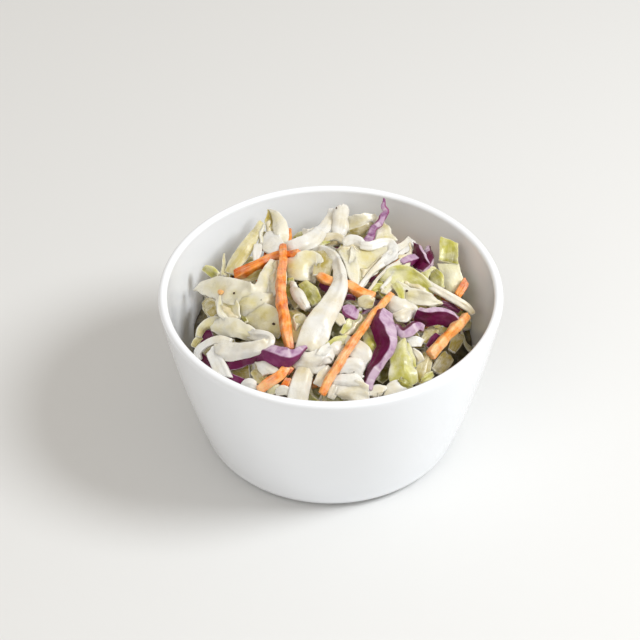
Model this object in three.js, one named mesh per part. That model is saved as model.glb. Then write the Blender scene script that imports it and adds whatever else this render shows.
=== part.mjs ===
// A small white porcelain cup filled with coleslaw: a loose mound of shredded cabbage and carrot.
// Millimetres, +Z up. The origin is the centre of the cup's foot, on the surface that it stands on.
import * as THREE from "three";

// ---- Cup: driving dimensions ------------------------------------------------------------------
const RIM_RADIUS = 56; // outermost radius, at the lip
const CUP_HEIGHT = 58.5;
const LIP_RADIUS = 1.5; // the lip is a half round, so the wall is twice this thick there
const WALL_BOW = 1.0; // how far the tapered wall bulges outwards halfway up
const CORNER_RADIUS = 6.2; // rounded edge between the wall and the underside
const CORNER_END = 0.2; // radians short of upright at which that edge runs into the tapered wall
const UNDERSIDE_RADIUS = 37; // where the rounded edge meets the table
const BASE_WALL = 4.2; // wall thickness at the foot
const FLOOR_HEIGHT = 5.5; // height of the cup's inside floor
const INNER_CORNER_RADIUS = 11;
const FOOT_RING_WIDTH = 4.5;
const FOOT_RECESS = 1.3; // how far the underside is set up inside the foot ring
const FOOT_CHAMFER = 1.0;

// ---- Coleslaw: driving dimensions -------------------------------------------------------------
const GAP = 0.3; // clearance between the slaw and the cup
const EDGE_HEIGHT = 37; // where the mound meets the wall, on average
const EDGE_TILT = 5; // the edge is this much higher at the back, and lower at the front
const PEAK_HEIGHT = 50.5; // top of the smooth mound, under the shreds that lie on it
const PEAK_OFFSET = new THREE.Vector2(-3, 3);
const MOUND_POWER = 2.6; // a higher power gives a flatter top and a steeper edge
const RIDGE_COUNT = 130; // shreds that stand proud of the smooth mound
const RIDGE_LENGTH = [14, 34];
const RIDGE_WIDTH = [5, 9];
const RIDGE_RISE = [1, 3.2];

// ---- Facets -----------------------------------------------------------------------------------
const CUP_SECTORS = 72; // a multiple of four, so that the rim reaches X and Y
const CORNER_STEPS = 5; // facets in each quarter round, the same in the cup and in the slaw
const LIP_STEPS = 6;
const WALL_STEPS = 5;
const MOUND_RINGS = 22; // rings of points from the mound's edge to its middle

const { lerp, clamp } = THREE.MathUtils;
const QUARTER = Math.PI / 2;

// The same numbers on every run, each in [0, 1).
function seededRandom(seed) {
  let state = seed;
  return () => {
    state = (Math.imul(state, 1664525) + 1013904223) >>> 0;
    return state / 2 ** 32;
  };
}

// Points of an arc about (x, y), from one angle to another, both ends included.
function arc(x, y, radius, from, to, steps) {
  return Array.from({ length: steps + 1 }, (_, i) => {
    const angle = lerp(from, to, i / steps);
    return new THREE.Vector2(x + radius * Math.cos(angle), y + radius * Math.sin(angle));
  });
}

// ---- Cup --------------------------------------------------------------------------------------
const WALL_TOP = CUP_HEIGHT - LIP_RADIUS;
const WALL_FOOT_RADIUS = UNDERSIDE_RADIUS + CORNER_RADIUS * Math.cos(CORNER_END);
const WALL_FOOT_HEIGHT = CORNER_RADIUS * (1 - Math.sin(CORNER_END));
const INNER_CORNER_HEIGHT = FLOOR_HEIGHT + INNER_CORNER_RADIUS;
const INNER_FLOOR_RADIUS = innerRadius(INNER_CORNER_HEIGHT) - INNER_CORNER_RADIUS;

// Outside radius of the tapered wall at a height.
function outerRadius(height) {
  const along = clamp((height - WALL_FOOT_HEIGHT) / (WALL_TOP - WALL_FOOT_HEIGHT), 0, 1);
  return lerp(WALL_FOOT_RADIUS, RIM_RADIUS, along) + WALL_BOW * 4 * along * (1 - along);
}

// Inside radius of the wall at a height, above the rounded inner corner.
function innerRadius(height) {
  return outerRadius(height) - lerp(BASE_WALL, 2 * LIP_RADIUS, clamp(height / WALL_TOP, 0, 1));
}

// Half section of the cup: from the middle of its underside, round the lip, to the middle of its floor.
function cupProfile() {
  const ringInside = UNDERSIDE_RADIUS - FOOT_RING_WIDTH;
  const profile = [
    new THREE.Vector2(0, FOOT_RECESS),
    new THREE.Vector2(ringInside - FOOT_CHAMFER, FOOT_RECESS),
    new THREE.Vector2(ringInside, 0),
  ];
  profile.push(...arc(UNDERSIDE_RADIUS, CORNER_RADIUS, CORNER_RADIUS, -QUARTER, -CORNER_END, CORNER_STEPS));
  for (let i = 1; i <= WALL_STEPS; i++) {
    const height = lerp(WALL_FOOT_HEIGHT, WALL_TOP, i / WALL_STEPS);
    profile.push(new THREE.Vector2(outerRadius(height), height));
  }
  profile.push(...arc(RIM_RADIUS - LIP_RADIUS, WALL_TOP, LIP_RADIUS, 0, Math.PI, LIP_STEPS).slice(1));
  for (let i = 1; i <= WALL_STEPS; i++) {
    const height = lerp(WALL_TOP, INNER_CORNER_HEIGHT, i / WALL_STEPS);
    profile.push(new THREE.Vector2(innerRadius(height), height));
  }
  const corner = arc(INNER_FLOOR_RADIUS, INNER_CORNER_HEIGHT, INNER_CORNER_RADIUS, 0, -QUARTER, CORNER_STEPS);
  profile.push(...corner.slice(1), new THREE.Vector2(0, FLOOR_HEIGHT));
  return profile;
}

function makeCup() {
  const geometry = new THREE.LatheGeometry(cupProfile(), CUP_SECTORS);
  geometry.rotateX(QUARTER); // the lathe turns about Y, and the cup stands along Z
  const porcelain = new THREE.MeshStandardMaterial({ color: 0xf2f1ef, roughness: 0.18, metalness: 0 });
  const cup = new THREE.Mesh(geometry, porcelain);
  cup.name = "cup";
  return cup;
}

// ---- Coleslaw ---------------------------------------------------------------------------------
const REACH = innerRadius(EDGE_HEIGHT) - GAP; // radius of the mound where it meets the wall

// Height of the smooth mound over a point of the table.
function moundHeight(x, y) {
  const share = Math.min(Math.hypot(x, y) / REACH, 1);
  const fromPeak = Math.hypot(x - PEAK_OFFSET.x * (1 - share), y - PEAK_OFFSET.y * (1 - share));
  const edge = EDGE_HEIGHT + (EDGE_TILT * y) / REACH;
  return lerp(edge, PEAK_HEIGHT, 1 - Math.min(fromPeak / REACH, 1) ** MOUND_POWER);
}

// Shreds lying on the mound, each a straight round-backed ridge.
function makeRidges() {
  const random = seededRandom(11);
  const within = ([low, high]) => lerp(low, high, random());
  return Array.from({ length: RIDGE_COUNT }, () => {
    const radius = REACH * Math.sqrt(random());
    const around = 2 * Math.PI * random();
    return {
      centre: new THREE.Vector2(radius * Math.cos(around), radius * Math.sin(around)),
      heading: Math.PI * random(),
      length: within(RIDGE_LENGTH),
      width: within(RIDGE_WIDTH),
      rise: within(RIDGE_RISE),
    };
  });
}

// How far the highest shred at a point stands above the smooth mound.
function ridgeRise(ridges, x, y) {
  let highest = 0;
  for (const { centre, heading, length, width, rise } of ridges) {
    const dx = x - centre.x;
    const dy = y - centre.y;
    const along = (dx * Math.cos(heading) + dy * Math.sin(heading)) / (length / 2);
    const across = (dy * Math.cos(heading) - dx * Math.sin(heading)) / (width / 2);
    const inside = 1 - along ** 4 - across ** 2;
    if (inside > 0) highest = Math.max(highest, rise * Math.sqrt(inside));
  }
  return highest;
}

// A closed body from rings of points stacked from the bottom to the top, with one point at each end.
// Each ring goes once round the axis, and the rings may hold different numbers of points.
function closedBody(bottom, rings, top) {
  const positions = [...bottom, ...top];
  const faces = [];
  const numbered = rings.map((ring) => {
    const first = positions.length / 3;
    for (const point of ring) positions.push(...point);
    return ring.map((_, i) => first + i);
  });
  const at = (ring, i) => ring[i % ring.length];
  for (let i = 0; i < rings[0].length; i++) {
    faces.push(0, at(numbered[0], i + 1), at(numbered[0], i));
  }
  for (let k = 0; k + 1 < numbered.length; k++) {
    const [lower, upper] = [numbered[k], numbered[k + 1]];
    let i = 0;
    let j = 0;
    while (i < lower.length || j < upper.length) {
      if ((i + 1) * upper.length <= (j + 1) * lower.length) {
        faces.push(at(lower, i), at(lower, i + 1), at(upper, j));
        i += 1;
      } else {
        faces.push(at(lower, i), at(upper, j + 1), at(upper, j));
        j += 1;
      }
    }
  }
  const last = numbered.at(-1);
  for (let i = 0; i < last.length; i++) {
    faces.push(at(last, i), at(last, i + 1), 1);
  }
  const geometry = new THREE.BufferGeometry();
  geometry.setAttribute("position", new THREE.Float32BufferAttribute(positions, 3));
  geometry.setIndex(faces);
  geometry.computeVertexNormals();
  return geometry;
}

// Up the inside of the cup with a small gap, then over the mound in rings that shrink to its middle.
function makeColeslaw() {
  const ridges = makeRidges();
  const topOf = (x, y) => moundHeight(x, y) + ridgeRise(ridges, x, y);
  const sectors = 6 * MOUND_RINGS;
  const ring = (count, pointAt) => Array.from({ length: count }, (_, i) => {
    const around = (2 * Math.PI * i) / count;
    return pointAt(Math.cos(around), Math.sin(around));
  });
  const rings = [];

  const floor = FLOOR_HEIGHT + GAP;
  const cornerRadius = INNER_CORNER_RADIUS - GAP;
  const cornerTop = floor + cornerRadius;
  for (const point of arc(INNER_FLOOR_RADIUS, cornerTop, cornerRadius, -QUARTER, 0, CORNER_STEPS)) {
    rings.push(ring(sectors, (cos, sin) => [point.x * cos, point.x * sin, point.y]));
  }
  for (let i = 1; i <= WALL_STEPS; i++) {
    rings.push(ring(sectors, (cos, sin) => {
      const height = lerp(cornerTop, topOf(REACH * cos, REACH * sin), i / WALL_STEPS);
      const radius = innerRadius(height) - GAP;
      return [radius * cos, radius * sin, height];
    }));
  }
  for (let k = MOUND_RINGS - 1; k >= 1; k--) {
    const radius = (REACH * k) / MOUND_RINGS;
    rings.push(ring(6 * k, (cos, sin) => [radius * cos, radius * sin, topOf(radius * cos, radius * sin)]));
  }

  const dressedCabbage = new THREE.MeshStandardMaterial({ color: 0xe3ddb8, roughness: 0.45, metalness: 0 });
  const geometry = closedBody([0, 0, floor], rings, [0, 0, topOf(0, 0)]);
  const coleslaw = new THREE.Mesh(geometry, dressedCabbage);
  coleslaw.name = "coleslaw";
  return coleslaw;
}

const group = new THREE.Group();
group.add(makeCup(), makeColeslaw());

export default group;
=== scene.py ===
"""Coleslaw in its small white cup: shredded white, green and red cabbage with carrot sticks in a thin
creamy dressing, heaped in glazed porcelain. Lengths are in millimetres until a mesh is made."""

import math

import bpy
import numpy as np
from mathutils import Euler, Matrix, Vector
from mathutils.bvhtree import BVHTree


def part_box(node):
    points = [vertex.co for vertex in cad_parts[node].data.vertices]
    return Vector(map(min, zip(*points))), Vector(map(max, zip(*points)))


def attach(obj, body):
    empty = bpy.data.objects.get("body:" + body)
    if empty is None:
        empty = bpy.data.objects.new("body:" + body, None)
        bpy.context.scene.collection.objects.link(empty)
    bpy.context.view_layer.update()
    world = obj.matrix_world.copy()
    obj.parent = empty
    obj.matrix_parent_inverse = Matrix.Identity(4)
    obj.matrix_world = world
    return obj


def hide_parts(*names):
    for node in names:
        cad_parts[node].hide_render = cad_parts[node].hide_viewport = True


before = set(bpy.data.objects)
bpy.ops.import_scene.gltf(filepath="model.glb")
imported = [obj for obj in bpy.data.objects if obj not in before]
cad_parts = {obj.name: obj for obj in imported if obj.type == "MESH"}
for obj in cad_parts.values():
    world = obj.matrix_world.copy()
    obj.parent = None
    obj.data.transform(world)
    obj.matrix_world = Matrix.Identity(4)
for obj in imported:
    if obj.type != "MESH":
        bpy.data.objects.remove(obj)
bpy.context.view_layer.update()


# ---- Camera -----------------------------------------------------------------------------------
# A long lens in front of the cup and well above it, so that the whole heap shows over the near lip.
# Any pixel can be turned into a line of sight, which is how the larger shreds are laid out below.
MM = 0.001
PICTURE = 640
SENSOR = 36.0
FOCAL_PIXELS = 2551.4
CAMERA_AT = Vector((-3.5, -634.8, 589.4))
CAMERA_DOWN = math.radians(40.6)
CAMERA_ROLL = math.radians(-0.23)
CLIP_NEAR = 10
CLIP_FAR = 20000

camera_turn = Euler((math.pi / 2 - CAMERA_DOWN, 0, 0)).to_matrix() @ Matrix.Rotation(CAMERA_ROLL, 3, "Z")
camera_point = np.array(CAMERA_AT)
lens = bpy.data.cameras.new("camera")
lens.lens = FOCAL_PIXELS * SENSOR / PICTURE
lens.sensor_width = SENSOR
lens.clip_start = CLIP_NEAR * MM
lens.clip_end = CLIP_FAR * MM
camera = bpy.data.objects.new("camera", lens)
camera.matrix_world = Matrix.Translation(CAMERA_AT * MM) @ camera_turn.to_4x4()
bpy.context.scene.collection.objects.link(camera)
bpy.context.scene.camera = camera
bpy.context.scene.view_settings.view_transform = "Standard"


def unit(directions):
    return directions / np.linalg.norm(directions, axis=-1, keepdims=True)


def sight_lines(pixels):
    """Directions of the lines of sight through pixels, each an (x, y) pair counted from the top left."""
    pixels = np.asarray(pixels, float)
    flat = np.full(len(pixels), -FOCAL_PIXELS)
    local = np.column_stack([pixels[:, 0] - PICTURE / 2, PICTURE / 2 - pixels[:, 1], flat])
    return unit(local @ np.array(camera_turn).T)


# ---- Light and floor --------------------------------------------------------------------------
# One large soft lamp high on the right, a weak fill from the left front, and a pale matt floor that
# stands in for a table. The cup's shadow falls to the left with a soft edge.
LAMP_AIM = Vector((0, 0, 40))
SKY_TONE = (1.0, 0.938, 0.855, 1.0)
SKY_STRENGTH = 0.59
FLOOR_SIDE = 6000


def soft_light(name, at, size, power, tone):
    light = bpy.data.lights.new(name, "AREA")
    light.shape = "DISK"
    light.size = size * MM
    light.energy = power
    light.color = tone
    lamp = bpy.data.objects.new(name, light)
    turn = (LAMP_AIM - Vector(at)).to_track_quat("-Z", "Y").to_matrix().to_4x4()
    lamp.matrix_world = Matrix.Translation(Vector(at) * MM) @ turn
    bpy.context.scene.collection.objects.link(lamp)


def fill(tree, node, values):
    """Sets or joins a node's sockets from {socket: number, colour or socket to join}."""
    for socket, value in values.items():
        if isinstance(value, bpy.types.NodeSocket):
            tree.links.new(value, node.inputs[socket])
        else:
            node.inputs[socket].default_value = value


def new_material(name):
    """A material, its node tree and its Principled shader."""
    material = bpy.data.materials.new(name)
    material.use_nodes = True
    return material, material.node_tree, material.node_tree.nodes["Principled BSDF"]


def srgb(red, green, blue):
    """A linear colour from 0 to 255 screen values."""
    def linear(value):
        share = value / 255
        return share / 12.92 if share <= 0.04045 else ((share + 0.055) / 1.055) ** 2.4
    return (linear(red), linear(green), linear(blue), 1.0)


soft_light("key_light", at=(602, -117, 698), size=340, power=6.3, tone=(0.965, 0.985, 1.0))
soft_light("fill_light", at=(-350, -650, 900), size=800, power=2.2, tone=(1.0, 0.99, 0.98))

world = bpy.data.worlds.new("studio")
world.use_nodes = True
bpy.context.scene.world = world
fill(world.node_tree, world.node_tree.nodes["Background"], {"Color": SKY_TONE, "Strength": SKY_STRENGTH})

side = FLOOR_SIDE * MM / 2
floor_mesh = bpy.data.meshes.new("floor")
floor_mesh.from_pydata([(-side, -side, 0), (side, -side, 0), (side, side, 0), (-side, side, 0)], [],
                       [(0, 1, 2, 3)])
floor = bpy.data.objects.new("floor", floor_mesh)
bpy.context.scene.collection.objects.link(floor)
floor_finish, tree, shader = new_material("pale floor")
fill(tree, shader, {"Base Color": srgb(220, 221, 221), "Roughness": 0.75})
floor_mesh.materials.append(floor_finish)


# ---- Cup --------------------------------------------------------------------------------------
# Slip-cast porcelain, glazed all over but for the foot ring, which is wiped clean before firing so that
# the cup doesn't stick to the kiln shelf. The wall bows very slightly and ends in a half-round lip.
cup_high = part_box("cup")[1]
RIM_RADIUS = cup_high.x / MM
CUP_HEIGHT = cup_high.z / MM
LIP_RADIUS = 1.5
WALL_BOW = 1.0
CORNER_RADIUS = 6.2
CORNER_END = 0.2
UNDERSIDE_RADIUS = 37.0
BASE_WALL = 4.2
FLOOR_HEIGHT = 5.5
INNER_CORNER_RADIUS = 11.0
FOOT_RING_WIDTH = 4.5
FOOT_RECESS = 1.3
FOOT_CHAMFER = 1.0
GLAZE_FROM = 0.2
GLAZE_TO = 0.5
CUP_SECTORS = 192
FLAT_STEPS = 8
RING_STEPS = 4
CORNER_STEPS = 14
OUTSIDE_STEPS = 26
LIP_STEPS = 18
INSIDE_STEPS = 24
QUARTER = math.pi / 2

WALL_TOP = CUP_HEIGHT - LIP_RADIUS
WALL_FOOT_RADIUS = UNDERSIDE_RADIUS + CORNER_RADIUS * math.cos(CORNER_END)
WALL_FOOT_HEIGHT = CORNER_RADIUS * (1 - math.sin(CORNER_END))


def outer_radius(height):
    along = np.clip((height - WALL_FOOT_HEIGHT) / (WALL_TOP - WALL_FOOT_HEIGHT), 0, 1)
    return WALL_FOOT_RADIUS + (RIM_RADIUS - WALL_FOOT_RADIUS) * along + WALL_BOW * 4 * along * (1 - along)


def inner_radius(height):
    thinning = np.clip(height / WALL_TOP, 0, 1)
    return outer_radius(height) - (BASE_WALL + (2 * LIP_RADIUS - BASE_WALL) * thinning)


INNER_CORNER_HEIGHT = FLOOR_HEIGHT + INNER_CORNER_RADIUS
INNER_FLOOR_RADIUS = inner_radius(INNER_CORNER_HEIGHT) - INNER_CORNER_RADIUS


def arc(x, y, radius, start, stop, steps):
    angles = np.linspace(start, stop, steps + 1)
    return np.column_stack([x + radius * np.cos(angles), y + radius * np.sin(angles)])


def level(start, stop, height, steps):
    return np.column_stack([np.linspace(start, stop, steps), np.full(steps, height)])


def wall(radius_at, start, stop, steps):
    heights = np.linspace(start, stop, steps)[1:]
    return np.column_stack([radius_at(heights), heights])


def cup_profile():
    """Half section from the middle of the underside, round the lip, to the middle of the inside floor."""
    ring_inside = UNDERSIDE_RADIUS - FOOT_RING_WIDTH
    return np.vstack([
        level(0, ring_inside - FOOT_CHAMFER, FOOT_RECESS, FLAT_STEPS),
        level(ring_inside, UNDERSIDE_RADIUS, 0, RING_STEPS),
        arc(UNDERSIDE_RADIUS, CORNER_RADIUS, CORNER_RADIUS, -QUARTER, -CORNER_END, CORNER_STEPS)[1:],
        wall(outer_radius, WALL_FOOT_HEIGHT, WALL_TOP, OUTSIDE_STEPS),
        arc(RIM_RADIUS - LIP_RADIUS, WALL_TOP, LIP_RADIUS, 0, math.pi, LIP_STEPS)[1:],
        wall(inner_radius, WALL_TOP, INNER_CORNER_HEIGHT, INSIDE_STEPS),
        arc(INNER_FLOOR_RADIUS, INNER_CORNER_HEIGHT, INNER_CORNER_RADIUS, 0, -QUARTER, CORNER_STEPS)[1:],
        level(INNER_FLOOR_RADIUS, 0, FLOOR_HEIGHT, FLAT_STEPS)[1:]])


def mesh_from(name, points, faces, attributes=(), smooth=True):
    """A mesh object from points in millimetres and an array of four-cornered faces. A face with its last
    corner repeated is a triangle. attributes is {name: one number for each point}."""
    three = faces[:, 2] == faces[:, 3]
    keep = np.ones(faces.shape, bool)
    keep[three, 3] = False
    corners = faces[keep]
    starts = np.concatenate([[0], np.cumsum(np.where(three, 3, 4))[:-1]])
    mesh = bpy.data.meshes.new(name)
    mesh.vertices.add(len(points))
    mesh.vertices.foreach_set("co", (points * MM).astype(np.float32).ravel())
    mesh.loops.add(len(corners))
    mesh.loops.foreach_set("vertex_index", corners.astype(np.int32))
    mesh.polygons.add(len(faces))
    mesh.polygons.foreach_set("loop_start", starts.astype(np.int32))
    mesh.polygons.foreach_set("use_smooth", np.full(len(faces), smooth))
    mesh.update(calc_edges=True)
    for label, values in dict(attributes).items():
        layer = mesh.attributes.new(label, "FLOAT", "POINT")
        layer.data.foreach_set("value", np.asarray(values, np.float32))
    mesh.validate()
    piece = bpy.data.objects.new(name, mesh)
    bpy.context.scene.collection.objects.link(piece)
    return piece


def tube_faces(rows, around):
    """Faces of a closed tube of points: row after row round it, then the middle of each end."""
    here = np.arange(around)
    beside = (here + 1) % around
    low = np.arange(rows - 1)[:, None] * around
    high = low + around
    sides = np.stack([low + here, low + beside, high + beside, high + here], axis=-1)
    tail = (rows - 1) * around
    first = np.full(around, rows * around)
    last = first + 1
    return np.vstack([sides.reshape(-1, 4), np.column_stack([first, beside, here, here]),
                      np.column_stack([tail + here, tail + beside, last, last])])


def turned(profile, sectors):
    """Points and faces of a profile turned round the Z axis. Its first and last points lie on the axis."""
    angles = np.linspace(0, 2 * math.pi, sectors, endpoint=False)
    radii, heights = profile[1:-1].T
    ring = np.stack([np.outer(radii, np.cos(angles)), np.outer(radii, np.sin(angles))], axis=2)
    points = np.column_stack([ring.reshape(-1, 2), np.repeat(heights, sectors)])
    ends = [[0, 0, profile[0, 1]], [0, 0, profile[-1, 1]]]
    return np.vstack([points, ends]), tube_faces(len(radii), sectors)


def add(tree, kind, values=(), **settings):
    """A new node with settings as attributes, and values as fill takes them."""
    node = tree.nodes.new(kind)
    for name, value in settings.items():
        setattr(node, name, value)
    fill(tree, node, dict(values))
    return node


def position(tree):
    return add(tree, "ShaderNodeNewGeometry").outputs["Position"]


def noise(tree, place, scale, detail, roughness=0.5):
    return add(tree, "ShaderNodeTexNoise", {"Vector": place, "Scale": scale, "Detail": detail,
                                            "Roughness": roughness}).outputs["Fac"]


def mix_colours(tree, share, first, second):
    """Colour between two, each a colour or a socket, by a share from 0 to 1."""
    return add(tree, "ShaderNodeMix", {"Factor": share, "A": first, "B": second},
               data_type="RGBA").outputs["Result"]


def spread(tree, value, low, high, least=0.0, most=1.0):
    """A value from low to high brought to the range from least to most, and held there."""
    return add(tree, "ShaderNodeMapRange", {"Value": value, "From Min": low, "From Max": high,
                                            "To Min": least, "To Max": most}).outputs["Result"]


cup = mesh_from("porcelain_cup", *turned(cup_profile(), CUP_SECTORS))
porcelain, tree, shader = new_material("glazed porcelain")
place = position(tree)
ripple = noise(tree, place, scale=45.0, detail=2.0)
glaze = mix_colours(tree, ripple, srgb(243, 246, 251), srgb(239, 243, 248))
height = add(tree, "ShaderNodeSeparateXYZ", {"Vector": place}).outputs["Z"]
bare = spread(tree, height, GLAZE_FROM * MM, GLAZE_TO * MM, 1.0, 0.0)
dents = add(tree, "ShaderNodeBump", {"Height": ripple, "Strength": 0.05, "Distance": 0.4 * MM})
fill(tree, shader, {"Base Color": mix_colours(tree, bare, glaze, srgb(214, 206, 192)),
                    "Roughness": spread(tree, bare, 0.0, 1.0, 0.16, 0.85), "Normal": dents.outputs["Normal"],
                    "Coat Weight": 0.4, "Coat Roughness": 0.08})
cup.data.materials.append(porcelain)
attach(cup, "root")
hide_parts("cup")


# ---- Heart of the heap ------------------------------------------------------------------------
# Slaw packed down inside the cup, where only bits of it show between the shreds on top. It is one closed
# body a little smaller than the whole heap, ridged by the shreds in it and wet with dressing.
HEAP_CELL = 1.6
HEAP_BLUR = 4.5
HEAP_GRID_REACH = 60
EDGE_MARGIN = 0.6
EDGE_INSET = 1.5
SIGHT_FROM = 740.0
SIGHT_TO = 960.0
HEART_DEPTH = 6.4
HEART_WALL_SINK = 3.0
HEART_RIDGES = 260
HEART_RELIEF = 1.6
HEART_GAP = 0.12
HEART_SECTORS = 200
HEART_ROWS = 90
HEART_WALL_STEPS = 8

HEAP_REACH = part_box("coleslaw")[1].x / MM - EDGE_MARGIN
slaw_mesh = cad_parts["coleslaw"].data
slaw_tree = BVHTree.FromPolygons([v.co for v in slaw_mesh.vertices], [p.vertices for p in slaw_mesh.polygons])
heap_axis = np.arange(-HEAP_GRID_REACH, HEAP_GRID_REACH + HEAP_CELL, HEAP_CELL)


def slaw_top(x, y):
    """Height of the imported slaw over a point, held at its edge height outside the heap."""
    pull = min(1.0, (HEAP_REACH - EDGE_INSET) / max(math.hypot(x, y), 0.001))
    start = Vector((x * pull * MM, y * pull * MM, 2 * CUP_HEIGHT * MM))
    return slaw_tree.ray_cast(start, Vector((0, 0, -1)))[0].z / MM


def blurred(grid, spread, cell):
    """A grid smoothed by a bell-shaped weight, with its edge values carried outwards."""
    half = int(math.ceil(3 * spread / cell))
    offsets = np.arange(-half, half + 1) * cell
    weight = np.exp(-0.5 * (offsets / spread) ** 2)
    weight /= weight.sum()
    wide = np.pad(grid, half, mode="edge")
    rows = sum(weight[k] * wide[k:k + grid.shape[0], :] for k in range(2 * half + 1))
    return sum(weight[k] * rows[:, k:k + grid.shape[1]] for k in range(2 * half + 1))


heap_grid = blurred(np.array([[slaw_top(x, y) for y in heap_axis] for x in heap_axis]), HEAP_BLUR, HEAP_CELL)


def heap_height(x, y):
    """Height of the smooth heap over points, in millimetres."""
    column, row = (np.clip((np.asarray(place) - heap_axis[0]) / HEAP_CELL, 0, len(heap_axis) - 1.001)
                   for place in (x, y))
    i = column.astype(int)
    j = row.astype(int)
    u = column - i
    v = row - j
    near = heap_grid[i, j] * (1 - u) + heap_grid[i + 1, j] * u
    far = heap_grid[i, j + 1] * (1 - u) + heap_grid[i + 1, j + 1] * u
    return near * (1 - v) + far * v


def heap_normal(x, y):
    """Outward direction of the smooth heap at points."""
    step = 2.0
    slope_x = (heap_height(x + step, y) - heap_height(x - step, y)) / (2 * step)
    slope_y = (heap_height(x, y + step) - heap_height(x, y - step)) / (2 * step)
    return unit(np.stack([-slope_x, -slope_y, np.ones_like(slope_x)], axis=-1))


def on_heap(route):
    """Points for a route of (pixel x, pixel y, lift): where each line of sight is lift mm above the heap."""
    route = np.asarray(route, float)
    reach = np.arange(SIGHT_FROM, SIGHT_TO, 0.5)
    found = []
    for line, lift in zip(sight_lines(route[:, :2]), route[:, 2]):
        path = camera_point + reach[:, None] * line
        clear = path[:, 2] - heap_height(path[:, 0], path[:, 1]) - lift
        first = int(np.argmax(clear <= 0))
        share = clear[first - 1] / (clear[first - 1] - clear[first])
        found.append(path[first - 1] + (path[first] - path[first - 1]) * share)
    return np.array(found)


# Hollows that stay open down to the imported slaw: pixel x, pixel y, radius and depth in millimetres.
HOLLOWS = [(199, 312, 6.0, 6.0), (197, 330, 5.0, 5.0), (452, 357, 6.5, 4.0), (464, 338, 5.5, 4.0),
           (384, 377, 3.8, 4.0), (295, 310, 3.2, 4.0), (243, 319, 2.6, 4.0), (337, 330, 4.2, 4.5),
           (238, 374, 4.5, 3.0), (284, 378, 3.2, 3.5), (347, 262, 2.8, 3.5), (372, 238, 3.2, 3.5),
           (434, 338, 2.8, 3.5), (414, 268, 3.4, 3.5), (334, 403, 3.4, 3.0), (440, 372, 4.0, 3.0),
           (205, 362, 4.0, 3.0), (228, 372, 3.5, 3.0)]
hollow_places = on_heap([(x, y, 0) for x, y, _, _ in HOLLOWS])


def hollow_depth(x, y, wall=HEART_WALL_SINK):
    """How far the slaw sinks at points, in its hollows and all round by the wall."""
    sink = wall * np.clip((np.hypot(x, y) / HEAP_REACH - 0.8) / 0.15, 0, 1)
    for (_, _, radius, depth), place in zip(HOLLOWS, hollow_places):
        away = np.hypot(x - place[0], y - place[1]) / radius
        sink = sink + depth * np.exp(-away ** 2)
    return sink


def packed_ridges(x, y, count, dice):
    """Relief of a layer of straight shreds lying every way, from 0 in the gaps up to about 1."""
    relief = np.zeros_like(x)
    for _ in range(count):
        radius = HEAP_REACH * math.sqrt(dice.random())
        bearing = dice.uniform(0, 2 * math.pi)
        heading = dice.uniform(0, math.pi)
        across_x = x - radius * math.cos(bearing)
        across_y = y - radius * math.sin(bearing)
        along = (across_x * math.cos(heading) + across_y * math.sin(heading)) / dice.uniform(6, 14)
        across = (across_y * math.cos(heading) - across_x * math.sin(heading)) / dice.uniform(1.4, 2.8)
        inside = np.clip(1 - along ** 4 - across ** 2, 0, None)
        relief = np.maximum(relief, dice.uniform(0.3, 1.0) * np.sqrt(inside))
    return relief


def heart_of_heap():
    """Rings up the inside of the cup and over the sunken heap, with one point at each end."""
    angles = np.linspace(0, 2 * math.pi, HEART_SECTORS, endpoint=False)
    cosine = np.cos(angles)
    sine = np.sin(angles)
    edge = heap_height(HEAP_REACH * cosine, HEAP_REACH * sine) - HEART_DEPTH
    edge -= hollow_depth(HEAP_REACH * cosine, HEAP_REACH * sine)
    reach = inner_radius(edge) - HEART_GAP
    shares = np.linspace(1, 0, HEART_ROWS)[:-1]
    radius = shares[:, None] * reach[None, :]
    x = radius * cosine
    y = radius * sine
    ridges = packed_ridges(x, y, HEART_RIDGES, np.random.default_rng(5))
    z = heap_height(x, y) - HEART_DEPTH - hollow_depth(x, y) + HEART_RELIEF * ridges
    rim = inner_radius(z[0]) - HEART_GAP
    x[0] = rim * cosine
    y[0] = rim * sine
    corner = arc(INNER_FLOOR_RADIUS, INNER_CORNER_HEIGHT, INNER_CORNER_RADIUS - HEART_GAP, -QUARTER, 0,
                 HEART_WALL_STEPS)
    rings = [np.column_stack([r * cosine, r * sine, np.full(HEART_SECTORS, h)]) for r, h in corner]
    for share in np.linspace(0, 1, HEART_WALL_STEPS)[1:-1]:
        height = INNER_CORNER_HEIGHT + (z[0] - INNER_CORNER_HEIGHT) * share
        inside = inner_radius(height) - HEART_GAP
        rings.append(np.column_stack([inside * cosine, inside * sine, height]))
    rings += [np.column_stack(row) for row in zip(x, y, z)]
    ends = [[0, 0, corner[0, 1]], [0, 0, z[-1].mean()]]
    return np.vstack(rings + [ends]), tube_faces(len(rings), HEART_SECTORS)


COLOUR = "NodeSocketColor"
NUMBER = "NodeSocketFloat"
WHITE = (1, 1, 1, 1)
MILKY = (1.0, 0.97, 0.9)


def effect(name, inputs, outputs):
    """An empty shader node group with named sockets, and its input and output nodes."""
    group = bpy.data.node_groups.new(name, "ShaderNodeTree")
    for label, kind, default in inputs:
        socket = group.interface.new_socket(name=label, in_out="INPUT", socket_type=kind)
        socket.default_value = default
    for label, kind in outputs:
        group.interface.new_socket(name=label, in_out="OUTPUT", socket_type=kind)
    return group, group.nodes.new("NodeGroupInput"), group.nodes.new("NodeGroupOutput")


def reckon(tree, operation, *values):
    return add(tree, "ShaderNodeMath", dict(enumerate(values)), operation=operation).outputs[0]


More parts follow.
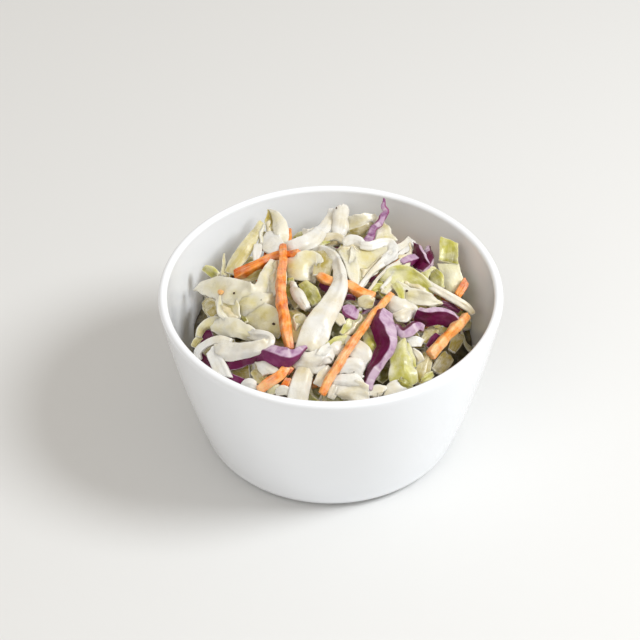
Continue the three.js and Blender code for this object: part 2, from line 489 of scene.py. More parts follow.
# Creamy dressing clings in thin soft patches, whitens what is under it and evens out its gloss.
film, given, made = effect("creamy film",
                           [("Under", COLOUR, WHITE), ("Cream", COLOUR, srgb(230, 228, 219)),
                            ("Cover", NUMBER, 0.5), ("Grain", NUMBER, 900.0), ("Ridges", NUMBER, 0.0)],
                           [("Colour", COLOUR), ("Roughness", NUMBER), ("Relief", NUMBER)])
place = position(film)
edges = spread(film, noise(film, place, scale=230.0, detail=3.0), 0.44, 0.60)
cover = reckon(film, "MULTIPLY", edges, given.outputs["Cover"])
coated = mix_colours(film, cover, given.outputs["Under"], given.outputs["Cream"])
fine = noise(film, place, given.outputs["Grain"], detail=4.0, roughness=0.6)
gloss = add(film, "ShaderNodeMix", {"Factor": edges, "A": spread(film, fine, 0.3, 0.7, 0.26, 0.50),
                                    "B": spread(film, fine, 0.3, 0.7, 0.20, 0.36)})
relief = reckon(film, "MULTIPLY_ADD", edges, 0.5, fine)
fill(film, made, {"Colour": coated, "Roughness": gloss.outputs["Result"],
                  "Relief": reckon(film, "MULTIPLY_ADD", given.outputs["Ridges"], 0.45, relief)})


def dress(tree, shader, colour, cover, grain=900.0, relief=0.3, depth=1.6, ridges=0.0, look=()):
    """Puts the creamy film over a colour and joins it to a shader. depth is how far light goes in, in mm,
    and look holds what this shader has otherwise than the rest."""
    coat = add(tree, "ShaderNodeGroup", node_tree=film)
    fill(tree, coat, {"Under": colour, "Cover": cover, "Grain": grain, "Ridges": ridges})
    bump = add(tree, "ShaderNodeBump", {"Height": coat.outputs["Relief"], "Strength": relief,
                                        "Distance": 0.3 * MM})
    fill(tree, shader, {"Base Color": coat.outputs["Colour"], "Roughness": coat.outputs["Roughness"],
                        "Normal": bump.outputs["Normal"], "Subsurface Weight": 0.35,
                        "Subsurface Radius": MILKY, "Subsurface Scale": depth * MM,
                        "Coat Weight": 0.10, "Coat Roughness": 0.22} | dict(look))


heart = mesh_from("packed_slaw", *heart_of_heap())
# The packed slaw is coloured dark olive brown: painted shade for the deep gaps where it shows between the
# shreds.
packed, tree, shader = new_material("packed slaw")
packed_shade_mottle = spread(tree, noise(tree, position(tree), scale=150.0, detail=2.0), 0.35, 0.62)
dress(tree, shader, mix_colours(tree, packed_shade_mottle, srgb(58, 48, 16), srgb(138, 122, 64)), cover=0.14)
heart.data.materials.append(packed)
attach(heart, "root")
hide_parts("coleslaw")


# ---- White cabbage ribs -----------------------------------------------------------------------
# Ribbons sliced across the thick pale ribs of the inner leaves: crisp, opaque and square edged, softened
# and bent by the dressing. The larger ones are laid one by one on the heap, and the rest lie as they fell.
WALL_CLEARANCE = 0.25
KNOT_STEPS = 24
THICK_WAVE = 7.0
TURN_WAVE = 14.0
TURN_SWAY = 6
OUTLINE_RUN = 3.6
OUTLINE_WAVE = 8.0
FOLD_WAVE = 18.0
FOLD_HALF = 0.45
VEIN_WAVE = 22.0
VEIN_HALF = 0.18
TEAR_RUN = 1.5
DENT_SIZE = 6.5
SMALL_DENT_SIZE = 2.6
SKIN_SIZE = 1.3
SHADE_SHIFT = 37.0
CLIMB = 0.35
# How much more tint, as painted shade, the strewn shreds get as they lie from SHALLOW down to DEEPEST.
DEEP_PAINTED_SHADE = 0.9
DEEPEST = -5.6
SHALLOW = -2.0
STREWN_PAST_EDGE = 0.5
STREWN_KNOTS = 7
OPEN_HOLLOW = 1.5


def smooth_curve(knots):
    """A dense smooth curve through the knots, and how far along it each point is."""
    ends = np.vstack([2 * knots[0] - knots[1], knots, 2 * knots[-1] - knots[-2]])
    t = np.linspace(0, 1, KNOT_STEPS, endpoint=False)[:, None]
    pieces = []
    for k in range(len(knots) - 1):
        a, b, c, d = ends[k:k + 4]
        pieces.append(0.5 * (2 * b + (c - a) * t + (2 * a - 5 * b + 4 * c - d) * t ** 2
                             + (3 * b - a - 3 * c + d) * t ** 3))
    dense = np.vstack(pieces + [knots[-1:]])
    return dense, np.concatenate([[0], np.cumsum(np.linalg.norm(np.diff(dense, axis=0), axis=1))])


def along_knots(values, share):
    """Values spread evenly along a shred, eased from one to the next, at shares of its length."""
    values = np.atleast_1d(np.asarray(values, float))
    if len(values) == 1:
        return np.full(len(share), values[0])
    place = share * (len(values) - 1)
    low = np.minimum(place.astype(int), len(values) - 2)
    ease = (place - low) ** 2 * (3 - 2 * (place - low))
    return values[low] * (1 - ease) + values[low + 1] * ease


def waves(points, size, dice, layers=4, sharp=False):
    """A random number for each point, about one either way, with bumps of a size in millimetres that are
    smooth, or sharp as folds in paper."""
    total = np.zeros(len(points))
    for _ in range(layers):
        heading = dice.normal(size=points.shape[1])
        heading *= 2 * math.pi / size * dice.uniform(0.6, 1.5) / np.linalg.norm(heading)
        swing = np.sin(points @ heading + dice.uniform(0, 2 * math.pi))
        total += np.arcsin(swing) * 0.8 if sharp else swing
    return total / math.sqrt(layers)


def jagged(along, size, dice):
    """A number for each place along an edge, about one either way, with straight runs and sharp corners."""
    steps = size * dice.uniform(0.4, 1.6, int(along[-1] / (0.4 * size)) + 3)
    corners = np.concatenate([[0], np.cumsum(steps)]) - dice.uniform(0, size)
    return np.interp(along, corners, dice.uniform(-1, 1, len(corners)))


def stay_in_cup(points):
    """Points pushed in from the cup's wall wherever they would go through it."""
    radius = np.hypot(points[:, 0], points[:, 1])
    height = np.clip(points[:, 2], FLOOR_HEIGHT, WALL_TOP)
    room = inner_radius(height) - WALL_CLEARANCE
    over = (radius > room) & (points[:, 2] < CUP_HEIGHT + 1)
    scale = np.where(over, room / np.maximum(radius, 0.001), 1.0)
    return np.column_stack([points[:, 0] * scale, points[:, 1] * scale, points[:, 2]])


def section(across, upright, corner):
    """Section of a shred, in order round it, as a rectangle with rounded corners. Each row says where a
    point is over the width and the thickness, and which way its corner's rounding carries it."""
    turns = [(math.cos(a), math.sin(a)) for a in np.linspace(0, math.pi / 2, corner)]
    wide = np.linspace(1, -1, across + 2)[1:-1]
    tall = np.linspace(1, -1, upright + 2)[1:-1]
    return np.array([(1, 1, c, s) for c, s in turns] + [(u, 1, 0, 1) for u in wide]
                    + [(-1, 1, -s, c) for c, s in turns] + [(-1, v, -1, 0) for v in tall]
                    + [(-1, -1, -c, -s) for c, s in turns] + [(-u, -1, 0, -1) for u in wide]
                    + [(1, -1, s, -c) for c, s in turns] + [(1, -v, 1, 0) for v in tall])


FINE = section(across=7, upright=1, corner=3)
COARSE = section(across=3, upright=0, corner=2)


def shred(knots, width, thick, dice, turn=0.0, bow=0.0, ruffle=0.0, ruffle_size=8.0, edge=0.3, ragged=0.07,
          crease=0.12, crumple=0.15, slant=(0.0, 0.0), facing=0.8, outline=FINE, step=0.65, tint=0.0):
    """One shred swept along its knots, with its ends cut square or at a slant.

    width, thick, turn (degrees) and bow (how far its middle stands proud of its edges) may each be one
    number or several along it. edge is the rounding of its cut corners, ragged how uneven its outline is,
    crease the height of folds along it, and crumple that of its dents. facing leans its flat side from
    the heap's own slope, at 0, towards the front, at 1."""
    dense, travelled = smooth_curve(knots)
    length = travelled[-1]
    round_off = min(edge, 0.12 * length)
    inner = np.linspace(round_off, length - round_off, max(4, int(length / step)))
    along = np.concatenate([[0, 0.35 * round_off], inner, [length - 0.35 * round_off, length]])
    path = np.column_stack([np.interp(along, travelled, dense[:, k]) for k in range(3)])
    share = along / length
    width = along_knots(width, share)
    thick = along_knots(thick, share) * (1 + 0.10 * waves(path, THICK_WAVE, dice))
    turn = np.radians(along_knots(turn, share) + TURN_SWAY * waves(path, TURN_WAVE, dice))
    bow = along_knots(bow, share)

    # Which way it runs, which way is across it and which way its flat side faces, all along it.
    tangent = unit(np.gradient(path, along, axis=0))
    toward = camera_point - [0, 0, CUP_HEIGHT]
    outward = heap_normal(path[:, 0], path[:, 1]) * (1 - facing) + facing * toward / np.linalg.norm(toward)
    side = np.cross(tangent, outward)
    side /= np.maximum(np.linalg.norm(side, axis=1, keepdims=True), 1e-6)
    for k in range(1, len(side)):
        if side[k] @ side[k - 1] < 0:
            side[k] = -side[k]
    padded = np.pad(side, ((2, 2), (0, 0)), mode="edge")
    side = np.column_stack([np.convolve(padded[:, k], np.ones(5) / 5, mode="valid") for k in range(3)])
    side = unit(side - tangent * np.sum(side * tangent, axis=1, keepdims=True))
    face = np.cross(side, tangent)
    side, face = (side * np.cos(turn)[:, None] + face * np.sin(turn)[:, None],
                  face * np.cos(turn)[:, None] - side * np.sin(turn)[:, None])

    # Its section, rounded over at the corners and the ends, with uneven edges.
    u, v, round_u, round_v = outline.T
    from_end = np.minimum(along, length - along)
    inset = round_off * (1 - np.sqrt(np.clip(1 - (1 - np.clip(from_end / round_off, 0, 1)) ** 2, 0, 1)))
    corner = np.minimum(edge, 0.46 * np.minimum(width, thick))
    half_wide = np.maximum(width / 2 - corner - inset, 0.02)[:, None]
    half_tall = np.maximum(thick / 2 - corner - inset, 0.01)[:, None]
    right, left = (ragged * jagged(along, OUTLINE_RUN, dice) + 0.03 * width * waves(path, OUTLINE_WAVE, dice)
                   for _ in range(2))
    x = half_wide * u + corner[:, None] * round_u + np.where(u > 0, right[:, None], -left[:, None]) * u ** 2
    y = half_tall * v + corner[:, None] * round_v

    # Folds, a vein and ruffled edges lift it, and its ends are cut at a slant and a little torn.
    fold_at = dice.uniform(-0.5, 0.5) + 0.35 * waves(path, FOLD_WAVE, dice)
    fold = np.clip(1 - np.abs(u - fold_at[:, None]) / FOLD_HALF, 0, 1) - 0.4
    vein_at = dice.uniform(-0.6, 0.6) + 0.3 * waves(path, VEIN_WAVE, dice)
    vein = np.exp(-((u - vein_at[:, None]) / VEIN_HALF) ** 2) * (v > 0)
    left_wave, right_wave = (np.sin(2 * math.pi * along / (longer * ruffle_size) + dice.uniform(0, 6.3))
                             for longer in (1, 1.3))
    wave = np.where(u > 0, right_wave[:, None], left_wave[:, None]) * np.abs(u) ** 1.6
    lifted = bow[:, None] * (0.5 - u ** 2) + ruffle * wave + crease * fold + 0.6 * crease * vein
    lean = np.where(share < 0.5, slant[0], -slant[1]) * np.clip(1 - from_end / np.maximum(width, 0.5), 0, 1)
    shift = lean[:, None] * u * width[:, None] / 2
    points = (path[:, None, :] + side[:, None, :] * x[..., None] + tangent[:, None, :] * shift[..., None]
              + face[:, None, :] * (y + lifted)[..., None])
    torn = [0.1 * w * jagged(2 * (1 + u), TEAR_RUN, dice) for w in (width[0], width[-1])]
    near_end = np.clip(1 - from_end / np.maximum(0.5 * width, 0.5), 0, 1)
    uneven = np.where((share < 0.5)[:, None], torn[0], torn[1]) * near_end[:, None]
    flat = (points + tangent[:, None, :] * uneven[..., None]).reshape(-1, 3)

    # Dents that carry its whole thickness, and the fine unevenness of its skin.
    middle = (path[:, None, :] + side[:, None, :] * x[..., None]).reshape(-1, 3)
    dents = crumple * waves(middle, DENT_SIZE, dice, layers=5, sharp=True)
    dents += 0.25 * crumple * waves(middle, SMALL_DENT_SIZE, dice, layers=6, sharp=True)
    flat = flat + np.repeat(face, len(u), axis=0) * dents[:, None]
    skin = np.column_stack([waves(flat, SKIN_SIZE, dice, layers=5) for _ in range(3)])
    flat = flat + (0.03 + 0.05 * crumple) * skin

    # The middles of its two ends come last, and so do their numbers.
    ends = [flat[:len(u)].mean(axis=0), flat[-len(u):].mean(axis=0)]
    number = dice.random()
    cut = np.tile(np.clip((np.abs(round_u) - 0.55) / 0.4, 0, 1), (len(path), 1))
    cut[[0, 1, -2, -1]] = 1
    marks = {
        "across": np.concatenate([np.tile(u, len(path)), [0, 0]]),
        "along": np.concatenate([np.repeat(along, len(u)), [0, length]]) + SHADE_SHIFT * number,
        "cut": np.concatenate([cut.ravel(), [1, 1]]),
        "shade": np.full(len(flat) + 2, number),
        "tint": np.full(len(flat) + 2, float(tint)),
    }
    return stay_in_cup(np.vstack([flat, ends])), tube_faces(len(path), len(u)), marks


def joined(bodies):
    """Points and faces of several bodies as one. Each body is its points, its faces and whatever else."""
    starts = np.cumsum([0] + [len(points) for points, *_ in bodies])
    faces = [faces + start for (_, faces, *_), start in zip(bodies, starts)]
    return np.vstack([points for points, *_ in bodies]), np.vstack(faces)


def heaped(name, shreds, finish):
    """Joins shreds into one piece that lies on the heap."""
    marks = {label: np.concatenate([m[label] for _, _, m in shreds]) for label in shreds[0][2]}
    piece = mesh_from(name, *joined(shreds), marks)
    piece.data.materials.append(finish)
    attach(piece, "root")
    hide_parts("coleslaw")


def strewn(count, dice, length, width, thick, lift, **shape):
    """Shreds at random places and headings, each following the heap. Pairs give the least and most."""
    made = []
    for _ in range(count):
        radius = (HEAP_REACH + STREWN_PAST_EDGE) * math.sqrt(dice.uniform(0.0, 1.0))
        bearing = math.radians(dice.uniform(0.0, 360.0))
        heading = dice.uniform(0, 2 * math.pi)
        curl = dice.normal(0, 0.05)
        size = dice.uniform(*length)
        steps = np.linspace(-size / 2, size / 2, STREWN_KNOTS)
        x = radius * math.cos(bearing) + steps * np.cos(heading + curl * steps)
        y = radius * math.sin(bearing) + steps * np.sin(heading + curl * steps)
        beyond = np.maximum(np.hypot(x, y) / HEAP_REACH, 1)
        sway = dice.normal(0, 0.5, STREWN_KNOTS)
        climb = CLIMB * (beyond - 1) * HEAP_REACH
        low = dice.uniform(*lift)
        if np.max(hollow_depth(x, y, wall=0)) > OPEN_HOLLOW:
            continue
        z = heap_height(x / beyond, y / beyond) + low + sway + climb - hollow_depth(x, y)
        settings = {key: dice.uniform(*value) if isinstance(value, tuple) else value
                    for key, value in shape.items()}
        # Deeper shreds get a higher tint: a darker olive colour that is painted shade for how deep they lie.
        deep = np.clip((SHALLOW - low) / (SHALLOW - DEEPEST), 0, 1)
        settings["tint"] = settings.get("tint", 0) + DEEP_PAINTED_SHADE * deep
        w = dice.uniform(*width)
        ends = w * dice.uniform(0.5, 1.0, 3)
        slant = dice.uniform(-0.7, 0.7, 2)
        made.append(shred(np.column_stack([x / beyond, y / beyond, z]),
                          [ends[0], w, ends[1], w * 0.9, ends[2]], dice.uniform(*thick), dice,
                          facing=0.0, slant=slant, outline=COARSE, step=1.1, **settings))
    return made


def by_hand(shreds, dice, **usual):
    """A function that lays one more shred of a kind along a route, which is as on_heap takes it. The rest
    is as shred takes it, and what isn't given is as usual for the kind."""
    def lay(route, **shape):
        shreds.append(shred(on_heap(route), dice=dice, **(usual | shape)))
    return lay


def attribute(tree, name):
    return add(tree, "ShaderNodeAttribute", attribute_name=name).outputs["Fac"]


# Veins and fibres run along every shred, so this effect reads the numbers that its mesh carries.
fibres, given, made = effect("fibres along a shred",
                             [("Flesh", COLOUR, WHITE), ("Fibre", COLOUR, WHITE),
                              ("Fineness", NUMBER, 3.0), ("Strength", NUMBER, 0.4)],
                             [("Colour", COLOUR), ("Mask", NUMBER)])
across = attribute(fibres, "across")
along = attribute(fibres, "along")
grain = add(fibres, "ShaderNodeCombineXYZ", {"X": across, "Y": along}).outputs[0]
stretched = add(fibres, "ShaderNodeMapping", {"Vector": grain, "Scale": (1.0, 0.08, 1.0)}).outputs[0]
streaks = spread(fibres, noise(fibres, stretched, given.outputs["Fineness"], 3.0, 0.55), 0.5, 0.66)
strength = reckon(fibres, "MULTIPLY", streaks, given.outputs["Strength"])
fill(fibres, made, {"Colour": mix_colours(fibres, strength, given.outputs["Flesh"], given.outputs["Fibre"]),
                    "Mask": streaks})


def veined(tree, flesh, fibre, fineness, strength):
    """Fibres of another colour along the shred: a colour, and a mask of where they are."""
    group = add(tree, "ShaderNodeGroup", {"Flesh": flesh, "Fibre": fibre, "Fineness": fineness,
                                          "Strength": strength}, node_tree=fibres)
    return group.outputs["Colour"], group.outputs["Mask"]


# Every shred's colour lies between three, by its own tint, by a random number of its own and by slow
# clouds through the heap. The tint is partly a shred's own tone and partly painted shade: shreds that lie
# in shadow or deep in the gaps are given a higher one, which darkens them towards the third colour.
shades, given, made = effect("shades over the shreds",
                             [("Low", COLOUR, WHITE), ("Middle", COLOUR, WHITE), ("High", COLOUR, WHITE),
                              ("Tint", NUMBER, 1.0), ("Cloud", NUMBER, 0.2), ("Own", NUMBER, 0.1),
                              ("Scale", NUMBER, 120.0), ("Inner", NUMBER, 0.0)],
                             [("Colour", COLOUR)])
centred = spread(shades, noise(shades, position(shades), given.outputs["Scale"], 3.0), 0.3, 0.7, -1.0, 1.0)
clouded = reckon(shades, "MULTIPLY", centred, given.outputs["Cloud"])
tinted = reckon(shades, "MULTIPLY_ADD", attribute(shades, "tint"), given.outputs["Tint"], clouded)
share = reckon(shades, "MULTIPLY_ADD", attribute(shades, "shade"), given.outputs["Own"], tinted)
fading = spread(shades, reckon(shades, "POWER", attribute(shades, "across"), 2.0), 0.0, 1.0, 1.0, -0.6)
share = reckon(shades, "MULTIPLY_ADD", fading, given.outputs["Inner"], share)
lower = mix_colours(shades, spread(shades, share, 0.0, 0.5), given.outputs["Low"], given.outputs["Middle"])
upper = mix_colours(shades, spread(shades, share, 0.5, 1.0), lower, given.outputs["High"])
fill(shades, made, {"Colour": upper})


def shaded(tree, low, middle, high, tint=1.0, cloud=0.2, own=0.1, scale=120.0, inner=0.0):
    """A colour from low through middle to high with the tint of each shred, its own tone and painted shade.
    """
    return add(tree, "ShaderNodeGroup", {"Low": low, "Middle": middle, "High": high, "Tint": tint,
                                         "Cloud": cloud, "Own": own, "Scale": scale, "Inner": inner},
               node_tree=shades).outputs["Colour"]


rib_finish, tree, shader = new_material("white cabbage rib")
rib_flesh = shaded(tree, srgb(223, 222, 217), srgb(212, 200, 164), srgb(170, 146, 78), cloud=0.3, own=0.14)
rib_veined, ridges = veined(tree, rib_flesh, srgb(228, 225, 217), fineness=3.0, strength=0.35)
# Cut faces take a paler colour: partly the paler flesh where the blade went, partly a painted highlight along
# the edges.
rib_cut_and_edge_highlight = mix_colours(tree, attribute(tree, "cut"), rib_veined, srgb(232, 229, 221))
dress(tree, shader, rib_cut_and_edge_highlight, cover=0.35, ridges=ridges)

dice = np.random.default_rng(21)
rib_shreds = strewn(120, dice, length=(10, 30), width=(2.0, 5.0), thick=(1.1, 2.4), lift=(-5.6, -2.6),
                    turn=(-75.0, 75.0), bow=(-0.3, 0.6), ragged=0.12, crease=0.2, crumple=0.2,
                    tint=(0.0, 0.5))
# The one that fell across the open gap by the left wall is taken out.
del rib_shreds[12]
laid_rib = by_hand(rib_shreds, dice, thick=1.6)

# The broad ribbon over the middle, bent over at its top and spread at its foot, and the folds below it.
laid_rib(route=[(312, 252, 3.2), (322, 249, 4.6), (333, 256, 6.0), (338, 267, 6.6), (340, 281, 6.8),
                (335, 297, 6.6), (326, 313, 6.4), (317, 328, 5.8), (311, 341, 4.6), (308, 352, 3.0)],
         width=[3.0, 3.8, 3.6, 3.8, 4.8, 5.8, 7.2, 8.6, 9.6, 8.4], thick=2.0,
         turn=[30, 20, -12, -8, 0, 0, 4], bow=[0.5, 0.5, 0.3, 0.6, 0.5, 0.6], crease=0.6, crumple=0.22,
         ruffle=0.25, ruffle_size=10, edge=0.4, tint=0.12)
laid_rib(route=[(296, 358, 3.4), (306, 361, 4.4), (317, 361, 4.6), (328, 355, 4.0)],
         width=[6, 7.4, 7.6, 5.0], thick=1.6, bow=[0.4, 0.9, 0.7], slant=(-0.6, 0.4), crease=0.4,
         crumple=0.35, edge=0.5)
laid_rib(route=[(306, 367, 2.6), (303, 378, 3.8), (299, 391, 3.6), (296, 405, 2.2)],
         width=[6.0, 6.4, 6.6, 6.2], thick=[2.0, 2.4], turn=14, bow=[0.6, -0.4], crease=0.4, crumple=0.3,
         edge=0.4, tint=0.26)
# The long arc at the back, from beside the thick rib end down to the upright carrot.
laid_rib(route=[(333, 210, 9.6), (330, 219, 8.8), (322, 230, 8.0), (311, 240.5, 7.2), (297, 246, 6.6),
                (283, 249, 5.4)], width=[3.2, 3.8, 4.8, 5.6, 5.6, 4.4], thick=1.5, turn=[10, -10, 0, 10],
         bow=0.4, crease=0.3, crumple=0.3, tint=0.02)
laid_rib(route=[(303, 232, 5.6), (308, 234, 6.0), (314, 231, 6.2)], width=[2.4, 3.2, 2.2], thick=1.4,
         slant=(0.5, 0.5), tint=0.15)
laid_rib(route=[(318, 244, 4.2), (326, 238, 5.8), (337, 237, 6.2), (346, 242, 5.8)],
         width=[2.2, 2.8, 2.8, 2.2], thick=1.3, turn=[25, 10, 20], tint=0.35)
# The thick rib end that stands highest at the back.
laid_rib(route=[(342, 206, 11), (341.5, 214, 10), (340.5, 225, 8), (339, 238, 5)],
         width=[5.2, 5.9, 5.6, 4.4], thick=[3.8, 4.2, 3.2], edge=1.7, crease=0.1, crumple=0.25,
         slant=(0.2, 0))
# Thick pale edges of the leaf that is folded like a funnel, and the knob where they meet.
laid_rib(route=[(343, 245, 6.4), (350, 241, 7.6), (357, 241, 7.8), (364, 245, 7.6)],
         width=[3.6, 4.2, 3.6, 2.4], thick=2.4, edge=0.9, crumple=0.3)
laid_rib(route=[(360, 245, 7.7), (370, 246, 7.9), (381, 243, 8.3), (390, 243, 8.5), (393, 249, 8.2),
                (389, 257, 7.6), (380, 265, 7.0), (370, 274, 6.3), (362, 284, 5.4), (357, 292, 4.2)],
         width=[2.8, 3.2, 3.4, 3.5, 3.4, 2.9, 2.3, 1.9, 1.6, 1.4], thick=1.3, edge=0.4, ragged=0.15)
# Narrow parallel strips to its right, still side by side as they came off the blade.
laid_rib(route=[(412, 240, 7.6), (402, 246, 7.8), (391, 253, 7.8), (383, 259, 7.2)],
         width=[3.4, 2.8, 2.2, 1.6], thick=1.3, slant=(0.4, 0), ragged=0.3, tint=0.16)
laid_rib(route=[(416, 249, 7.0), (402, 260, 7.0), (388, 269, 6.8), (377, 280, 6.0), (368, 292, 4.6)],
         width=[2.0, 1.9, 1.6, 1.0, 0.8], thick=1.3, slant=(0.4, 0), ragged=0.2, tint=0.14)
laid_rib(route=[(414, 245, 7.2), (399, 255, 7.3), (384, 265, 6.9)], width=[1.6, 1.7, 1.3], thick=1.2,
         ragged=0.25)
laid_rib(route=[(408, 262, 6.2), (398, 270, 6.2), (389, 280, 5.8), (381, 289, 4.8)],
         width=[1.5, 1.5, 1.2, 0.9], thick=1.2, ragged=0.2, tint=0.1)
# The thin rib that crosses the right side and ends against the wall.
laid_rib(route=[(408, 268.5, 5.8), (420, 276.5, 7.0), (431, 286, 7.6), (443, 293, 7.8), (457, 301, 7.8),
                (468, 308, 7.2), (473, 315, 6.2)], width=[1.6, 2.0, 2.4, 2.8, 2.9, 2.7, 2.2], thick=1.5,
         edge=0.4, tint=0.2)
# Crumpled white bits under the green leaf on the right.
laid_rib(route=[(386, 300, 4.6), (396, 305.5, 5.4), (407, 309, 5.4), (417, 309, 4.6)],
         width=[3.4, 6.2, 6.6, 4.2], thick=1.5, bow=[0.8, 1.0], crease=0.3, crumple=0.25, slant=(0.5, -0.5),
         tint=0.0)
laid_rib(route=[(394, 318, 4.4), (402, 316.5, 5.4), (412, 313, 4.9)], width=[2.8, 4.4, 3.2], thick=1.6,
         crumple=0.35, slant=(0.3, 0.6), tint=0.28)
# Left front: a hairpin ribbon, a loop over the dark corner and a short rib under it.
laid_rib(route=[(243, 329, 5.0), (253, 335, 5.2), (262, 336, 5.8), (269, 338.5, 6.6), (267, 344, 7.2),
                (255, 348.5, 7.4), (241, 351, 7.0), (226, 352, 6.2), (213, 351, 5.2)],
         width=[3.6, 3.6, 3.6, 3.8, 4.6, 5.4, 5.9, 5.6, 4.4], thick=[1.2, 1.4, 1.8, 2.0, 1.8],
         turn=[10, 0, 0, 0], bow=[0.2, -0.3, 0.4, 0.5], crease=0.35, crumple=0.3, slant=(0, 0.3), tint=0.12)
laid_rib(route=[(200, 361, 2.2), (198, 352, 4.0), (207, 344, 5.2), (219, 339.5, 5.8), (231, 342, 5.4)],
         width=[2.2, 2.6, 2.7, 2.9, 2.6], thick=1.6, turn=[20, 0], ragged=0.2, tint=0.1)
laid_rib(route=[(212, 350, 5.8), (215, 358, 6.0), (220, 367, 5.6), (227, 377, 4.4)],
         width=[4.2, 4.8, 4.6, 3.4], thick=2.0, crease=0.3, slant=(0.5, 0.6), tint=0.0)
laid_rib(route=[(255, 362.5, 4.8), (264, 368, 5.6), (272, 374, 5.2)], width=[0.6, 4.0, 4.6], thick=1.4,
         slant=(0, 0.7), bow=0.3)
laid_rib(route=[(244, 386, 3.2), (250, 383.5, 3.9), (257, 386, 3.2)], width=[2.6, 3.6, 2.4], thick=1.8,
         slant=(0.6, -0.4), edge=0.4)
# Short bits at the upper left, and a fat one like a grain of rice in the middle.
laid_rib(route=[(268, 232, 9.0), (271, 240, 8.4), (275, 249, 7.2), (278, 257, 5.8)],
         width=[3.0, 6.0, 7.0, 4.6], thick=1.2, bow=[0.3, 0.5], crumple=0.2, slant=(0.3, 0.3), facing=0.95,
         tint=0.05)
laid_rib(route=[(258, 245.5, 7.8), (257, 253, 7.2), (256, 262, 5.6)], width=[3.0, 3.1, 1.8], thick=1.7,
         slant=(0.2, -0.7), facing=0.95)
laid_rib(route=[(293, 289, 5.0), (300, 298, 6.0), (308, 309, 5.0)], width=[3.0, 4.2, 3.0], thick=2.6,
         edge=1.2, facing=0.9, tint=0.05)
laid_rib(route=[(292, 283, 4.2), (294, 286, 4.8), (297, 288, 4.2)], width=[1.6, 2.4, 1.6], thick=1.8,
         edge=0.8, facing=0.9)
# Front, right of the middle: thick lumps of rib between the long carrot and the red strip.
laid_rib(route=[(347, 344, 4.2), (355, 349, 5.2), (363, 356, 5.0), (368, 364, 3.8)],
         width=[5.4, 6.4, 6.4, 5.6], thick=1.8, ragged=0.15, crease=0.4, crumple=0.15, slant=(0.6, -0.5),
         tint=0.06)
laid_rib(route=[(342, 373, 3.8), (349, 368.5, 4.8), (356, 369, 5.0), (363, 375, 4.0)],
         width=[5.0, 6.6, 6.6, 5.0], thick=3.2, edge=1.5, ragged=0.1, crease=0.2, crumple=0.15,
         slant=(0.3, -0.3), tint=-0.05)
laid_rib(route=[(336, 394, 3.4), (346, 391, 4.0), (357, 391, 4.4), (368, 395, 3.6)],
         width=[4.4, 6.2, 7.4, 5.8], thick=1.6, bow=[0.6, -0.4], edge=0.4, ragged=0.15, crease=0.5,
         crumple=0.18, slant=(0.5, -0.4), tint=0.3)
laid_rib(route=[(331, 382, 4.2), (342, 381, 5.0), (354, 383, 5.4), (364, 388, 4.6)],
         width=[2.6, 4.6, 5.6, 3.8], thick=1.2, turn=[8, -6], bow=[0.2, 0.6, 0.3], edge=0.3, ragged=0.15,
         crease=0.4, crumple=0.18, slant=(0.5, -0.5), tint=0.06)
laid_rib(route=[(369, 396, 2.8), (376, 391, 3.6), (384, 391, 3.4)], width=[3.2, 4.4, 3.4], thick=2.0,
         edge=0.6, slant=(0.5, 0.4))
laid_rib(route=[(384, 394, 2.4), (396, 388, 3.4), (409, 388, 2.8)], width=[3.4, 5.0, 3.6], thick=1.8,
         bow=0.4, slant=(-0.5, 0.6), tint=0.12)
laid_rib(route=[(321, 366, 3.6), (325, 358, 4.8), (331, 350, 4.4)], width=[5.0, 6.0, 4.6], thick=1.8,
         crease=0.4, crumple=0.2, slant=(0.6, 0.6), tint=0.02)
laid_rib(route=[(318, 386, 2.6), (324, 378, 3.2), (331, 370, 2.8)], width=[4.0, 5.2, 4.2], thick=1.6,
         crumple=0.3, tint=0.2)
# Right front: pale bits round the bright green leaf and under the right-hand carrot.
laid_rib(route=[(408, 342.5, 3.8), (415, 341.5, 4.6), (422, 343.5, 4.0)], width=[3.2, 3.5, 3.0], thick=1.6,
         crumple=0.35, slant=(0.4, 0.2))
laid_rib(route=[(412, 350, 4.4), (417, 355, 4.8), (421, 362, 4.3)], width=[2.2, 3.2, 2.8], thick=0.9,
         ragged=0.2, crumple=0.3, turn=-20, tint=0.2)
# Small ones in the gaps left of the long carrot.
laid_rib(route=[(334, 314, 4.6), (339, 319, 5.2), (343, 325, 4.6)], width=[2.0, 3.4, 2.4], thick=1.6,
         crumple=0.15, tint=0.1)
laid_rib(route=[(328, 352, 3.6), (336, 349, 4.4), (343, 345, 3.8)], width=[3.0, 4.4, 3.0], thick=1.6,
         crumple=0.15, tint=0.2)
laid_rib(route=[(330, 399, 3.4), (333, 392, 4.2), (336, 385, 3.8)], width=[2.4, 3.2, 2.4], thick=1.5,
         crumple=0.15, tint=0.25)
laid_rib(route=[(276, 393, 3.8), (284, 390, 4.6), (291, 393, 4.0)], width=[2.2, 3.2, 2.4], thick=1.4,
         crumple=0.15, tint=0.2)

heaped("cabbage_ribs", rib_shreds, rib_finish)


# ---- Pale leaf --------------------------------------------------------------------------------
# Leaf cut from between the ribs of the same heads: under a millimetre thick, limp and see-through, cream to
# yellow green with pale veins and pale cut edges. It folds, cups and crumples where it lies.
leaf_finish, tree, shader = new_material("pale cabbage leaf")
leaf_flesh = shaded(tree, srgb(226, 221, 199), srgb(214, 203, 145), srgb(168, 150, 64), cloud=0.4,
                    scale=110.0, inner=0.2)
leaf_veined, ridges = veined(tree, leaf_flesh, srgb(228, 223, 205), fineness=3.4, strength=0.34)
